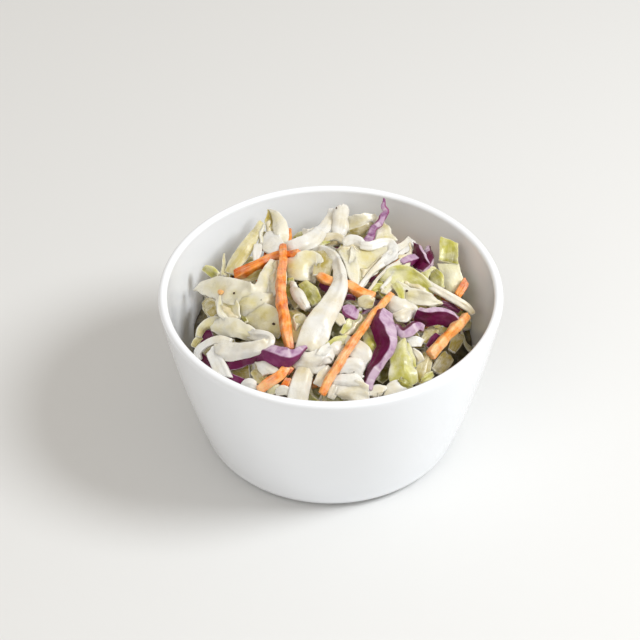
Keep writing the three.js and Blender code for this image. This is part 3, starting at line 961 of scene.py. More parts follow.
# Cut faces take a paler colour: partly the paler flesh where the blade went, partly a painted highlight along
# the edges.
leaf_cut_and_edge_highlight = mix_colours(tree, attribute(tree, "cut"), leaf_veined, srgb(233, 230, 215))
dress(tree, shader, leaf_cut_and_edge_highlight, cover=0.35, depth=2.2, ridges=ridges, look={"Subsurface Weight": 0.5})

dice = np.random.default_rng(47)
leaf_shreds = strewn(110, dice, length=(10, 30), width=(2.6, 7.5), thick=(0.6, 0.9), lift=(-5.2, -2.2),
                     turn=(-75.0, 75.0), bow=(-0.9, 0.9), ruffle=(0.1, 0.7), ragged=0.35, crease=0.3,
                     crumple=0.5, tint=(0.0, 0.9))
laid_leaf = by_hand(leaf_shreds, dice, thick=0.8, ragged=0.22, crease=0.22, crumple=0.3, edge=0.25)

# Upper left: the big pointed leaf with its turned-up end, and what hangs below it.
laid_leaf(route=[(193, 290.5, 5), (204, 287.5, 6.2), (218, 287.5, 7.0), (234, 291.5, 7.0),
                 (250, 296.5, 6.4), (262, 292, 6.0), (269, 281, 6.6), (272.5, 270, 7.0), (276, 261, 6.6)],
          width=[0.6, 5.4, 8.2, 9.2, 9.0, 8.4, 7.8, 6.8, 4.6], turn=[8, 6, 6, 4],
          bow=[0, 0.5, -0.5, -0.8, -0.8, -0.5], ruffle=0.4, ruffle_size=11, tint=-0.12)
# This leaf under the crossing carrot takes a high tint: painted shade below the carrot.
laid_leaf(route=[(240, 274, 4.0), (251, 275, 4.4), (262, 270, 4.2)], width=[3.6, 5.0, 4.0], bow=-0.5,
          tint=0.75)
laid_leaf(route=[(233, 301, 4.8), (245, 305, 5.2), (258, 303, 5.2), (270, 299, 5.0), (278, 289, 4.6)],
          width=[3, 7.0, 7.6, 6.4, 4], bow=[0.4, 1.2, 0.8], tint=0.06)
laid_leaf(route=[(227, 293, 5.4), (228, 303, 5.8), (231, 313, 5.6), (236, 320, 4.8)],
          width=[6.2, 7.4, 7.0, 4.2], bow=[-0.9, -1.2, -0.9], ruffle=0.2, crumple=0.15, tint=0.12)
laid_leaf(route=[(220, 294, 6.2), (219.5, 304, 6.6), (220, 313, 6.6), (226, 320, 6.0)],
          width=[1.4, 2.0, 2.2, 1.8], thick=1.1, turn=25, tint=0.0)
laid_leaf(route=[(214, 324, 4.4), (223, 327, 5.2), (234, 327.5, 5.8), (246, 332, 5.6), (257, 337, 5.0)],
          width=[5.0, 6.2, 6.4, 5.2, 3.0], turn=[-8, 6, -4], bow=[0.6, 0.8, 0.4], ruffle=0.5, ruffle_size=9,
          crease=0.4, tint=0.1)
laid_leaf(route=[(219, 321, 5.0), (209, 323.5, 4.6), (202, 329, 3.8), (199, 337, 2.8)],
          width=[3.4, 4.0, 3.4, 2.2], turn=[10, 30], bow=0.5, ruffle=0.3, tint=0.6)
# The leaves below by the left wall take high tints: painted shade where they lie under the pointed leaf.
laid_leaf(route=[(207, 304, 1.0), (212, 308, 1.4), (217, 316, 1.2)], width=[3.6, 4.8, 3.6], tint=1.0)
laid_leaf(route=[(193, 347, 1.0), (197, 341, 1.6), (202, 337, 1.4)], width=[2.0, 2.4, 2.0], tint=0.5)
laid_leaf(route=[(206, 301, -0.6), (210, 307, -0.4), (213, 314, -0.6)], width=[3.6, 5.0, 4.0], tint=1.3)
# Behind it: the long leaf, the split leaf that leans on the wall, and a thin blade.
laid_leaf(route=[(261, 223, 11), (253, 237, 9.8), (244, 250, 8.4), (236, 262, 6.4), (230, 273, 4.6)],
          width=[2.4, 3.6, 4.6, 5.0, 4.6], turn=[5, -6, -16], bow=[0.2, 0.5, 0.4], tint=0.45)
laid_leaf(route=[(264, 224, 10.8), (262, 233, 9.8), (261, 243, 8.6)], width=[0.8, 1.2, 1.0], thick=0.9,
          turn=60, tint=0.0)
laid_leaf(route=[(269, 210, 13), (276, 217, 12), (280.5, 228, 10.2), (281, 238, 8), (280, 247, 6.4)],
          width=[0.8, 3.4, 4.6, 4.8, 4.4], thick=0.9, turn=[-15, -5, 0], bow=[0.2, 0.5, 0.4], facing=0.95,
          tint=-0.2)
# The narrow inner half of the split leaf, and the strip below it, take a higher tint: painted shade on their
# sides turned from the lamp.
laid_leaf(route=[(267.5, 211, 12.4), (270.5, 221, 10.6), (273, 234, 8.2)], width=[1.0, 3.8, 4.8], thick=0.8,
          turn=[20, 10], facing=0.95, tint=0.7)
laid_leaf(route=[(268, 238, 6.6), (274, 246, 6.2), (279, 255, 5.4)], width=[5.4, 7.4, 5.6], facing=0.95,
          tint=0.16)
laid_leaf(route=[(264, 232, 8.0), (263, 240, 7.4), (262, 250, 6.0)], width=[1.6, 2.6, 3.4], facing=0.95,
          tint=0.85)
laid_leaf(route=[(224, 253, 7.8), (223.5, 264, 6.2), (224, 276, 4.2)], width=[0.3, 1.4, 2.2], thick=0.8,
          facing=0.95, tint=0.35)
laid_leaf(route=[(262, 262, 5.6), (255, 267, 5.2), (246, 274, 4.4)], width=[3.0, 4.2, 3.4], tint=0.7)
# Between the upright carrot and the middle ribbon.
laid_leaf(route=[(284, 266, 4.4), (292, 267.5, 5.2), (300, 267.5, 5.4), (309, 266, 5.2), (317, 269, 4.6)],
          width=[6.0, 7.6, 9.4, 10.4, 9.2], thick=0.9, turn=[-6, 4, -4], bow=[0.3, 0.5, -0.3], ruffle=0.2,
          crease=0.5, crumple=0.18, slant=(0.3, -0.3), tint=0.14)
laid_leaf(route=[(304, 254, 5.4), (308, 256, 5.8), (313, 260, 5.8), (317, 268, 5.0)],
          width=[2.2, 5.0, 6.4, 6.0], thick=0.9, turn=[10, -6], bow=[0.2, 0.6], ruffle=0.2, crease=0.3,
          crumple=0.15, slant=(0.4, -0.4), tint=0.0)
# This one takes a high tint: painted shade beside the middle ribbon.
laid_leaf(route=[(322, 251, 5.4), (323, 262, 5.8), (322, 275, 4.8)], width=[5.0, 6.6, 5.4], crumple=0.15,
          tint=0.95)
laid_leaf(route=[(246, 317, 2.4), (260, 318, 3.0), (274, 323, 3.0), (283, 330, 2.2)],
          width=[7, 9.6, 9.8, 7], thick=0.9, bow=[0.6, 1.0], tint=0.3)
laid_leaf(route=[(290, 312, 2.4), (297, 325, 3.2), (301, 342, 2.4)], width=[5, 7.6, 6], thick=0.9,
          bow=[0.6, 0.8], tint=0.52)
laid_leaf(route=[(279, 268, 5.2), (277, 283, 5.4), (273, 300, 4.4)], width=[5.0, 6.2, 4.8], bow=[0.5, -0.5],
          tint=0.16)
# Back right: leaf beside the thick rib end, and leaf leaning behind the red strip.
laid_leaf(route=[(346, 225, 7.4), (355, 226, 8.2), (366, 223, 9.4), (377, 216, 10.8)],
          width=[6.4, 7.8, 6.6, 2.0], thick=0.9, turn=[4, -6, -14], bow=[-0.4, -0.6, -0.3], ragged=0.12,
          crease=0.05, crumple=0.12, tint=-0.3)
# The two lower pieces behind it take high tints: painted shade where they lie under the rib end and the red
# strip.
laid_leaf(route=[(350, 234, 5.8), (359, 233, 6.6), (368, 229, 7.6), (375, 223, 8.6)],
          width=[3.4, 4.4, 4.4, 2.6], thick=0.9, turn=[-30, -30], ragged=0.12, crumple=0.12, tint=0.95)
laid_leaf(route=[(343, 238, 4.4), (352, 237.5, 4.8), (362, 237, 4.8)], width=[3.2, 4.4, 3.6], crumple=0.12,
          tint=1.2)
laid_leaf(route=[(384, 222, 10.2), (384.5, 232, 9), (385.5, 243, 7.2)], width=[0.8, 5.0, 7.6], thick=0.9,
          slant=(0, -0.2), tint=0.2)
# The leaf folded like a funnel right of the middle, and leaf left of it.
laid_leaf(route=[(370, 246, 6.8), (368, 256, 6.2), (364, 267, 5.6), (360, 279, 4.8), (357, 291, 3.4)],
          width=[12.0, 12.6, 10.2, 6.4, 3], bow=[-0.9, -1.2, -1.1, -0.4], facing=0.9, crumple=0.12,
          crease=0.1, tint=0.02)
laid_leaf(route=[(341, 248, 5.2), (346, 256, 5.4), (348, 267, 4.6)], width=[3.6, 5.0, 3.8], ragged=0.1,
          crumple=0.1, tint=0.4)
laid_leaf(route=[(345, 250, 6.6), (350, 261, 6.8), (353.5, 274, 6.2), (356, 288, 4.6)],
          width=[4.6, 4.8, 4.2, 2.4], thick=1.0, turn=14, ragged=0.1, crumple=0.12, tint=0.12)
laid_leaf(route=[(396, 277, 5.0), (389, 285, 5.2), (384, 294, 4.2)], width=[3.2, 3.6, 2.4], tint=0.2)
# Pale leaf under the green one on the right, and leaf low at the right. The high tints of the low leaves
# here are painted shade where the right wall shades them.
laid_leaf(route=[(399, 292, 5.0), (412, 295, 6.0), (427, 299, 6.4), (442, 304, 6.0)],
          width=[3.6, 5.0, 4.6, 1.6], thick=0.9, bow=[0.4, -0.8, 0.8], ruffle=0.6, tint=0.02)
laid_leaf(route=[(396, 284, 5.6), (405, 289, 5.9), (412, 297, 5.2)], width=[2.2, 3.4, 2.4], tint=0.1)
laid_leaf(route=[(420, 384, 2.4), (422, 374, 3.6), (425, 363, 4.0), (428, 353, 3.8)],
          width=[3.2, 4.8, 4.4, 3.0], bow=0.6, tint=0.8)
laid_leaf(route=[(436, 372, -3.0), (442, 364, -2.8), (449, 355, -3.0)], width=[4.0, 5.2, 4.2], tint=1.5)
laid_leaf(route=[(452, 351, -2.4), (456, 342, -2.0), (460, 333, -1.8)], width=[3.0, 4.0, 3.2], tint=1.5)
laid_leaf(route=[(424, 343, 1.4), (429, 336, 1.8), (435, 328, 1.2)], width=[3.4, 4.4, 3.4], tint=0.7)
# This leaf at the front left takes a high tint: painted shade where it lies low under the hairpin ribbon.
laid_leaf(route=[(231, 366, -0.4), (240, 372, 0.0), (250, 372, 0.0)], width=[3.6, 5.0, 4.4], tint=1.15)
laid_leaf(route=[(254, 371, 3.0), (260, 377, 3.4), (266, 384, 2.8)], width=[3.0, 4.2, 3.2], tint=0.55)
laid_leaf(route=[(358, 303, 4.4), (366, 301.5, 5.2), (374, 303, 4.8)], width=[3.0, 4.8, 3.6], crumple=0.15,
          tint=0.4)

heaped("pale_cabbage_leaf", leaf_shreds, leaf_finish)


# ---- Green cabbage ----------------------------------------------------------------------------
# Outer leaf of the same heads, greener and a little stiffer, cut to squares and ragged strips.
green_finish, tree, shader = new_material("green cabbage")
green_flesh = shaded(tree, srgb(219, 215, 180), srgb(191, 187, 88), srgb(128, 122, 30), cloud=0.42,
                     scale=130.0, inner=0.16)
green_veined, ridges = veined(tree, green_flesh, srgb(220, 216, 176), fineness=3.2, strength=0.28)
# Cut faces take a paler colour: partly the paler flesh where the blade went, partly a painted highlight along
# the edges.
green_cut_and_edge_highlight = mix_colours(tree, attribute(tree, "cut"), green_veined, srgb(227, 223, 192))
dress(tree, shader, green_cut_and_edge_highlight, cover=0.28, depth=2.0, ridges=ridges, look={"Subsurface Weight": 0.45})

dice = np.random.default_rng(34)
green_shreds = strewn(64, dice, length=(8, 22), width=(2.4, 6.0), thick=(0.7, 1.1), lift=(-5.2, -2.2),
                      turn=(-80.0, 80.0), bow=(-0.8, 0.8), ruffle=(0.1, 0.6), ragged=0.3, crease=0.3,
                      crumple=0.4, tint=(0.1, 0.8))
laid_green = by_hand(green_shreds, dice, thick=0.9, ragged=0.16, crease=0.22, crumple=0.25, edge=0.25)

# Two squares that stand against the wall at the upper right, and the curl beside them.
laid_green(route=[(449.5, 241, 14.6), (449, 251, 12.6), (448, 263, 10.0)], width=[6.2, 6.7, 7.0], thick=1.1,
           bow=[-0.3, -0.5], ragged=0.08, slant=(-0.34, 0.05), facing=0.95, tint=0.56)
laid_green(route=[(448, 264, 9.3), (451.5, 277, 7.6), (456, 294, 5.2)], width=[6.6, 7.0, 5.6], thick=1.1,
           bow=[0.3, 0.5], ragged=0.08, slant=(-0.3, 0.3), facing=0.95, tint=-0.5)
laid_green(route=[(424, 285, 5.8), (424, 276, 6.8), (429, 270, 7.4), (436, 270.5, 7.4)],
           width=[2.4, 2.8, 2.8, 2.0], turn=[0, 20, 20], crumple=0.15, tint=0.3)
laid_green(route=[(432, 272, 7.4), (436, 279, 7.6), (440, 289, 6.4)], width=[4.2, 5.8, 3.4], turn=-14,
           bow=[0.4, 0.5], facing=0.9, crumple=0.15, tint=0.8)
# The big leaf right of the middle, pale along its upper edge.
laid_green(route=[(387, 282, 5.0), (394, 276, 6.4), (404, 275, 7.2), (415, 280, 7.4), (425, 287, 6.8),
                  (434, 293.5, 6.0)], width=[5.4, 6.8, 7.0, 6.0, 4.8, 2.4], thick=1.0, turn=[0, 0, -6, -12],
           bow=[0.4, -0.5, -0.8, -0.3], ruffle=0.4, crease=0.3, slant=(0.3, -0.3), tint=0.34)
laid_green(route=[(390, 273, 6.4), (402, 269.5, 7.6), (414, 273.5, 8.0), (425, 281.5, 7.6),
                  (435, 290, 6.8)], width=[3.4, 3.2, 2.4, 1.8, 1.3], thick=0.9, crumple=0.15, tint=-0.6)
laid_green(route=[(402, 271, 7.4), (406, 267, 8.0), (410, 263, 7.8)], width=[2.6, 1.9, 0.5], thick=0.9,
           crumple=0.1, tint=-0.8)
laid_green(route=[(391, 274, 6.6), (396, 268, 7.4), (401, 264, 7.4)], width=[2.6, 2.0, 0.6], thick=0.9,
           crumple=0.1, tint=-0.8)
laid_green(route=[(396, 284, 5.8), (400, 291, 6.2), (402, 300, 5.4)], width=[3.0, 2.8, 2.0], thick=0.9,
           crumple=0.15, tint=0.2)
laid_green(route=[(371, 291, 3.4), (378, 287, 4.6), (386, 291, 4.2)], width=[2.2, 3.0, 2.2], tint=0.5)
laid_green(route=[(376, 283, 3.8), (383, 289, 4.0), (386, 298, 3.6)], width=[3.0, 3.8, 3.0], tint=0.75)
# The bright ragged piece at the front right.
laid_green(route=[(407, 343, 5.0), (408, 351, 5.4), (410, 360, 5.2), (412, 368, 4.6)],
           width=[1.6, 3.4, 4.2, 3.4], thick=1.0, bow=[0.3, 0.6, 0.6], crease=0.3, crumple=0.15, tint=0.5)
laid_green(route=[(404, 338, 5.6), (402, 349, 6.2), (401, 361, 6.0), (403, 374, 5.4), (408, 386, 4.0)],
           width=[1.0, 4.4, 7.4, 8.8, 8.0], thick=1.0, bow=[0.3, 0.8, 1.1, 0.8], ruffle=0.4, ruffle_size=8,
           crease=0.3, crumple=0.2, tint=0.24)
laid_green(route=[(398, 380, 4.8), (404, 384, 5.0), (412, 386, 4.2)], width=[1.8, 3.2, 2.6], bow=0.5,
           tint=0.5)
laid_green(route=[(400, 378, 5.2), (408, 383, 4.6), (416, 381, 3.6)], width=[1.6, 2.2, 1.6], turn=30,
           tint=0.7)
laid_green(route=[(421, 381, 3.2), (427, 377, 4.2), (433, 373, 3.6)], width=[1.8, 2.6, 1.8], tint=0.55)
# Small bits at the left wall and behind the arc.
laid_green(route=[(204, 268, 9.0), (210, 271, 8.0), (218, 277, 6.0)], width=[2.6, 3.6, 3.0], thick=1.6,
           turn=[10, 0], tint=0.5)
laid_green(route=[(294, 240, 4.6), (299, 236, 5.4), (304, 234, 5.0)], width=[1.8, 2.4, 1.8], tint=0.75)
laid_green(route=[(328, 239, 4.8), (334, 234, 5.6), (340, 234, 5.0)], width=[1.8, 2.6, 1.8], tint=0.6)
laid_green(route=[(318, 247, 4.4), (324, 243, 5.0), (331, 241, 4.6)], width=[1.2, 1.8, 1.2], tint=0.4)
# Leaf that shows in the gaps either side of the middle ribbon and under the long carrot.
laid_green(route=[(288, 279, 3.2), (292, 293, 3.2), (299, 308, 2.6)], width=[3.4, 4.0, 3.2], tint=0.8)
laid_green(route=[(303, 283, 4.0), (311, 294, 4.4), (318, 305, 3.8)], width=[3.6, 5.6, 3.8], tint=0.42)
laid_green(route=[(343, 336, 3.6), (352, 325, 4.6), (362, 316, 4.4)], width=[3.0, 5.0, 3.6], tint=0.38)
laid_green(route=[(366, 329, 4.0), (371, 341, 4.6), (371, 356, 3.6)], width=[3.6, 5.0, 3.8], bow=0.6,
           tint=0.3)
laid_green(route=[(326, 346, 4.2), (336, 342, 5.0), (348, 338, 4.6)], width=[2.2, 3.6, 2.4], turn=20,
           tint=0.34)
laid_green(route=[(268, 393, 3.2), (275, 389, 4.2), (283, 389, 3.4)], width=[2.4, 3.4, 2.4], tint=0.05)
# The four low ones below take high tints, a dark green that is painted shade deep in the gaps.
laid_green(route=[(246, 323, 2.8), (242, 315, 3.2), (241, 307, 2.6)], width=[1.6, 2.2, 1.6], tint=1.0)
laid_green(route=[(331, 333, 0.4), (337, 330, 0.6), (344, 326, 0.4)], width=[3.6, 4.4, 3.6], tint=1.2)
laid_green(route=[(378, 381, -0.6), (383, 374, -0.2), (388, 367, -0.4)], width=[3.6, 4.6, 3.6], tint=1.3)
laid_green(route=[(326, 401, 0.4), (335, 399, 0.6), (344, 401, 0.4)], width=[2.6, 3.4, 2.6], tint=1.3)

heaped("green_cabbage", green_shreds, green_finish)


# ---- Red cabbage ------------------------------------------------------------------------------
# Thick curly strips of red cabbage: the leaf's skin is deep purple, and where the knife went through it
# the flesh is lilac white with purple veins.
red_finish, tree, shader = new_material("red cabbage")
skin = shaded(tree, srgb(80, 2, 42), srgb(102, 14, 70), srgb(138, 62, 112), tint=0.6, cloud=0.35, own=0.2,
              scale=140.0)
skin_veined, ridges = veined(tree, skin, srgb(124, 44, 98), fineness=3.0, strength=0.16)
flesh = shaded(tree, srgb(196, 172, 192), srgb(174, 140, 170), srgb(126, 74, 118), tint=0.2, cloud=0.5,
               own=0.3, scale=420.0)
flesh_veined = veined(tree, flesh, srgb(222, 208, 216), fineness=5.0, strength=0.65)[0]
red_cut = mix_colours(tree, attribute(tree, "cut"), skin_veined, flesh_veined)
dress(tree, shader, red_cut, cover=0.03, depth=1.0, ridges=ridges,
      look={"Subsurface Weight": 0.12, "Specular IOR Level": 0.16, "Coat Weight": 0.05})

dice = np.random.default_rng(55)
red_shreds = strewn(24, dice, length=(8, 22), width=(2.2, 4.6), thick=(1.0, 2.0), lift=(-5.0, -2.6),
                    turn=(-70.0, 70.0), bow=(-0.5, 0.5), ruffle=(0.0, 0.5), ragged=0.25, crease=0.2,
                    crumple=0.3, tint=(0.0, 0.8))
laid_red = by_hand(red_shreds, dice, thick=1.6, ragged=0.15, crease=0.2, crumple=0.22, edge=0.25)

# The twisted strip that stands up at the back, cut face forward.
laid_red(route=[(384.5, 198.5, 17), (383, 206, 15.6), (386, 212, 14.2), (382, 219, 12.4), (374, 229, 9.6),
                (367, 243, 6.2)], width=[0.6, 1.2, 1.2, 1.3, 1.4, 1.6],
         thick=[0.6, 1.7, 1.9, 2.0, 2.5, 3.0], turn=[90, 62, 108, 76, 74], facing=0.95, ragged=0.08,
         tint=3.7)
# The curled clump beside the parallel strips.
laid_red(route=[(415, 243, 8.8), (417, 253, 8.2), (421, 263, 7.2), (427, 270, 6.0)],
         width=[0.6, 3.6, 5.4, 5.0], thick=1.5, turn=[-50, -50, -40], bow=[0.4, -0.8], tint=-0.6)
laid_red(route=[(428, 246.5, 8.8), (428.5, 255, 8.4), (426, 264, 7.4), (419, 271, 5.8)],
         width=[0.9, 2.8, 4.2, 4.6], thick=[1.4, 2.8, 2.0], turn=[62, 50, -24, -50], tint=-0.5)
laid_red(route=[(402, 265, 6.8), (409, 261, 7.6), (417, 258, 7.6)], width=[2.0, 2.0, 1.6],
         thick=[2.2, 3.0, 2.2], turn=[-60, -70], tint=0.6)
# The big strip at the front right: dark skin towards the left and a broad cut face towards the right.
laid_red(route=[(384, 313, 6.4), (383, 322, 7.0), (384.5, 334, 7.2), (385.5, 346, 7.0), (380, 358, 6.2),
                (371.5, 373, 5.2), (367.5, 390, 4.0)], width=[4.4, 4.8, 6.0, 5.9, 4.9, 3.3, 1.8],
         thick=[4.6, 6.0, 5.0, 3.4, 2.7, 3.3, 3.2], turn=[-60, -58, -52, -44, -46, -62, -70], edge=0.35,
         tint=0.3)
laid_red(route=[(395, 326, 6.6), (401, 333, 7.0), (409, 331, 7.0), (417, 326, 6.6), (423, 328, 5.6)],
         width=[1.8, 2.0, 2.0, 2.0, 1.6], thick=[2.6, 2.8, 2.8, 2.9, 2.4], turn=[70, 80], ragged=0.1,
         tint=0.25)
# The wavy piece under the thin rib at the right.
laid_red(route=[(416, 314, 5.6), (426, 318, 6.2), (437, 316, 6.7), (447, 318.5, 6.7), (457, 323.5, 5.8)],
         width=[4.6, 5.6, 5.4, 5.4, 3.2], thick=2.7, turn=[-30, -36, -30, -40], bow=[0.5, -0.5, 0.5],
         tint=0.0)
laid_red(route=[(441, 303, 5.0), (450, 306, 5.2), (459, 312, 4.4)], width=[1.4, 2.2, 1.6], thick=1.2,
         tint=0.1)
# Bits between the middle ribbon and the long carrot, and dark bits deep in the gaps.
laid_red(route=[(344, 307, 5.4), (351, 312, 6.0), (358, 315, 5.0)], width=[1.4, 1.8, 1.4],
         thick=[3.0, 4.6, 3.4], turn=[-62, -70], tint=1.4)
laid_red(route=[(320, 283, 3.0), (328, 288, 3.4), (334, 292, 2.6)], width=[2.4, 3.2, 2.4], thick=1.2)
laid_red(route=[(363, 277, 3.6), (371, 279, 4.2), (381, 281, 3.4)], width=[1.8, 2.6, 1.8], thick=1.1)
laid_red(route=[(343, 298, 4.2), (350, 297, 4.6), (356, 299, 3.8)], width=[1.4, 2.2, 1.4], thick=1.0)
# The folded strip at the front left, cut face up, with its dark end running away under the hairpin ribbon.
laid_red(route=[(252, 358, 4.6), (265, 355.5, 6.0), (279, 356.5, 6.8), (291, 357, 7.0), (300, 352, 6.2),
                (307, 347, 5.2)], width=[1.6, 3.8, 5.4, 5.2, 3.6, 1.2],
         thick=[1.4, 2.2, 4.2, 4.2, 3.0, 1.2], turn=[-10, -20, -46, -50, -58, -60], edge=0.35, tint=0.95)
laid_red(route=[(222, 366, 3.6), (234, 364, 4.2), (247, 361, 4.6), (261, 357.5, 5.0)],
         width=[3.0, 3.4, 2.8, 2.6], thick=1.3, tint=0.1)
laid_red(route=[(200, 340, 0.6), (206, 336, 1.4), (213, 333, 1.2)], width=[2.8, 3.6, 2.6], thick=1.2,
         ragged=0.3)
laid_red(route=[(199, 357, 1.8), (205, 363, 2.4), (212, 371, 2.0)], width=[3.4, 4.0, 3.0], thick=1.2)
laid_red(route=[(229, 376, 2.8), (237, 381, 3.4), (246, 383, 2.8)], width=[2.6, 3.2, 2.4], thick=1.2,
         tint=0.4)
laid_red(route=[(428, 348, 2.0), (433, 341, 2.8), (437, 335, 2.4)], width=[2.0, 2.6, 2.0], thick=1.1,
         tint=0.1)

heaped("red_cabbage", red_shreds, red_finish)


# ---- Carrot -----------------------------------------------------------------------------------
# Carrot cut on a julienne blade to square sticks about 3 mm thick. The blade leaves the faces rough, so they
# hold a film of dressing, and the orange is strongest along the corners and at the sheared ends.
carrot_finish, tree, shader = new_material("carrot")
carrot_flesh = shaded(tree, srgb(243, 184, 118), srgb(241, 144, 48), srgb(208, 98, 14), cloud=0.5, own=0.25,
                      scale=330.0)
carrot_veined, ridges = veined(tree, carrot_flesh, srgb(246, 198, 136), fineness=2.4, strength=0.5)
dress(tree, shader, carrot_veined, cover=0.18, grain=1300.0, relief=0.5, ridges=ridges,
      look={"Subsurface Radius": (1.0, 0.45, 0.16), "Specular IOR Level": 0.35, "Coat Weight": 0.12})

dice = np.random.default_rng(12)
carrot_shreds = strewn(24, dice, length=(10, 30), width=(2.4, 3.1), thick=(2.2, 2.9), lift=(-5.4, -3.2),
                       turn=(-40.0, 40.0), edge=0.35, ragged=0.2, crease=0.0, crumple=0.15)
# The one that fell across the open gap by the left wall is taken out.
del carrot_shreds[6]
laid_carrot = by_hand(carrot_shreds, dice, thick=2.7, edge=0.4, ragged=0.16, crease=0.12, crumple=0.16,
                      slant=(0.1, 0.15))

# The upright stick, and the one that it crosses.
laid_carrot(route=[(282.5, 247, 6.8), (283.5, 257, 7.4), (281.5, 272, 7.8), (280.5, 288, 7.6),
                   (281.5, 303, 6.8), (285, 320, 5.8), (287.5, 337, 4.6), (290, 350, 3.6)],
            width=[2.4, 2.7, 2.8, 2.9, 3.0, 3.1, 3.0, 2.7], turn=[10, 0, 25, 35, 20], tint=0.56)
laid_carrot(route=[(235, 276, 5.2), (247, 270, 6.0), (259, 264.5, 6.2), (272, 258, 5.8), (286, 255.5, 6.0),
                   (299.5, 254, 7.8)], width=[2.9, 3.2, 3.0, 2.6, 2.5, 2.8], turn=[20, 30, 10],
            slant=(-0.3, 0.0), tint=0.5)
# The long diagonal stick down the front, and the short thick one behind the middle ribbon.
laid_carrot(route=[(391, 294.5, 5.8), (378, 309, 6.8), (368, 321, 7.3), (357, 336, 7.5), (347, 351, 7.2),
                   (337, 367, 6.6), (328, 382, 5.8), (321.5, 395, 5.0)],
            width=[1.9, 2.1, 2.2, 2.3, 2.4, 2.5, 2.5, 2.4], thick=2.2, turn=[10, 30, 40, 20], tint=0.3)
laid_carrot(route=[(319, 276, 4.2), (328, 281, 4.8), (338, 283.5, 5.0), (349, 286, 5.4), (361, 293, 5.8),
                   (374, 297.5, 5.4)], width=[2.8, 3.0, 2.9, 3.0, 3.2, 3.0], turn=[10, 30], tint=0.25)
# The thick stick that leans on the right wall, and the short one above it.
laid_carrot(route=[(467, 316, 7.8), (457, 326, 7.4), (444, 340, 6.8), (430, 356, 5.8)],
            width=[2.8, 3.0, 3.1, 3.1], thick=2.6, turn=[20, 30, 30], ragged=0.25, tint=0.0)
laid_carrot(route=[(466, 281, 9.2), (462, 288, 8.0), (457, 297, 6.4)], width=[2.6, 2.9, 2.8],
            slant=(-0.4, 0.2), tint=0.45)
# Short ends at the front left and the tip at the back.
laid_carrot(route=[(286, 367, 4.4), (280, 375, 5.0), (270, 382, 4.8), (258, 391, 3.8)],
            width=[2.8, 3.2, 3.4, 3.2], tint=0.35)
laid_carrot(route=[(289, 379, 4.0), (286, 384, 4.2), (282, 390, 3.4)], width=[2.2, 2.4, 2.0], tint=0.8)
laid_carrot(route=[(290, 230, 7.6), (288.5, 236, 6.8), (288, 246, 4.8)], width=[1.4, 2.2, 2.2], thick=2.0,
            tint=0.5)
# This bit's high tint is painted shade in the gap beside the upright stick.
laid_carrot(route=[(269, 249, 4.6), (267, 255, 4.4), (264, 263, 3.6)], width=[1.8, 2.2, 1.8], thick=2.0,
            tint=1.2)
# This stick's high tint is painted shade where it lies under the others at the front left.
laid_carrot(route=[(279, 366, 2.6), (285, 369, 3.0), (292, 372, 2.4)], width=[2.6, 3.0, 2.6], tint=1.1)
laid_carrot(route=[(218, 291, 7.6), (220.5, 292, 7.8), (223, 292.5, 7.6)], width=[1.0, 1.4, 1.0], thick=0.8,
            tint=-0.6)

heaped("carrot_sticks", carrot_shreds, carrot_finish)


# ---- Dressing ---------------------------------------------------------------------------------
# Thin creamy dressing of mayonnaise and vinegar. It has drawn into the corners where shreds touch, as a ball
# rolled over the heap would find them, and left the wider gaps open.
DRESSING_CELL = 0.42
DRESSING_BALL = 2.6
DRESSING_LEAST = 0.22
DRESSING_MOST = 1.5
DRESSING_CLOUD = 14.0
DRESSING_WALL_GAP = 0.8
DRESSING_SMALLEST = 45
DRESSING_THICK = 0.6
DRESSING_SWELL = 0.12
DRESSING_SINK = 0.10
JOINING_PASSES = 60
SWELL_RINGS = 4
EASING_PASSES = 4
BELOW_ALL = -50.0

dressing_axis = np.arange(-HEAP_REACH, HEAP_REACH + DRESSING_CELL, DRESSING_CELL)
cells = len(dressing_axis)


def nearest_nodes(places):
    """Row and column in the dressing's grid of the node nearest to each point."""
    return np.rint((places[:, :2] - dressing_axis[0]) / DRESSING_CELL).astype(int).T


def surface_of(shreds):
    """Height of the highest shred over each node of the dressing's grid."""
    heights = np.full(cells * cells, BELOW_ALL)
    shares = np.linspace(0.1, 0.9, 4)
    for points, faces, _ in shreds:
        corners = points[faces[faces[:, 2] != faces[:, 3]]]
        for s in shares:
            near = corners[:, 0] * (1 - s) + corners[:, 1] * s
            far = corners[:, 3] * (1 - s) + corners[:, 2] * s
            for t in shares:
                spot = near * (1 - t) + far * t
                i, j = nearest_nodes(spot)
                inside = (i >= 0) & (i < cells) & (j >= 0) & (j < cells)
                np.maximum.at(heights, i[inside] * cells + j[inside], spot[inside, 2])
    return heights.reshape(cells, cells)


def rolled_over(heights, ball, cell):
    """Heights after a ball has been rolled over them: narrow corners come up to where it touches."""
    reach = int(ball / cell)
    steps = [(i, j) for i in range(-reach, reach + 1) for j in range(-reach, reach + 1)
             if math.hypot(i, j) * cell < ball]
    drop = {step: ball - math.sqrt(ball ** 2 - (math.hypot(*step) * cell) ** 2) for step in steps}
    for sign in (1, -1):
        wide = np.pad(sign * heights, reach, mode="edge")
        heights = sign * np.max([wide[reach + i:reach + i + cells, reach + j:reach + j + cells] - drop[i, j]
                                 for i, j in steps], axis=0)
    return heights


def grown(squares):
    """Whatever touches the chosen squares at a corner or along a side, on a grid one larger each way."""
    size = len(squares)
    touched = np.zeros((size + 1, size + 1), bool)
    for i in (0, 1):
        for j in (0, 1):
            touched[i:size + i, j:size + j] |= squares
    return touched


def shrunk(nodes):
    """Where all four neighbours on a grid are chosen, on a grid one smaller each way."""
    return nodes[:-1, :-1] & nodes[1:, :-1] & nodes[1:, 1:] & nodes[:-1, 1:]


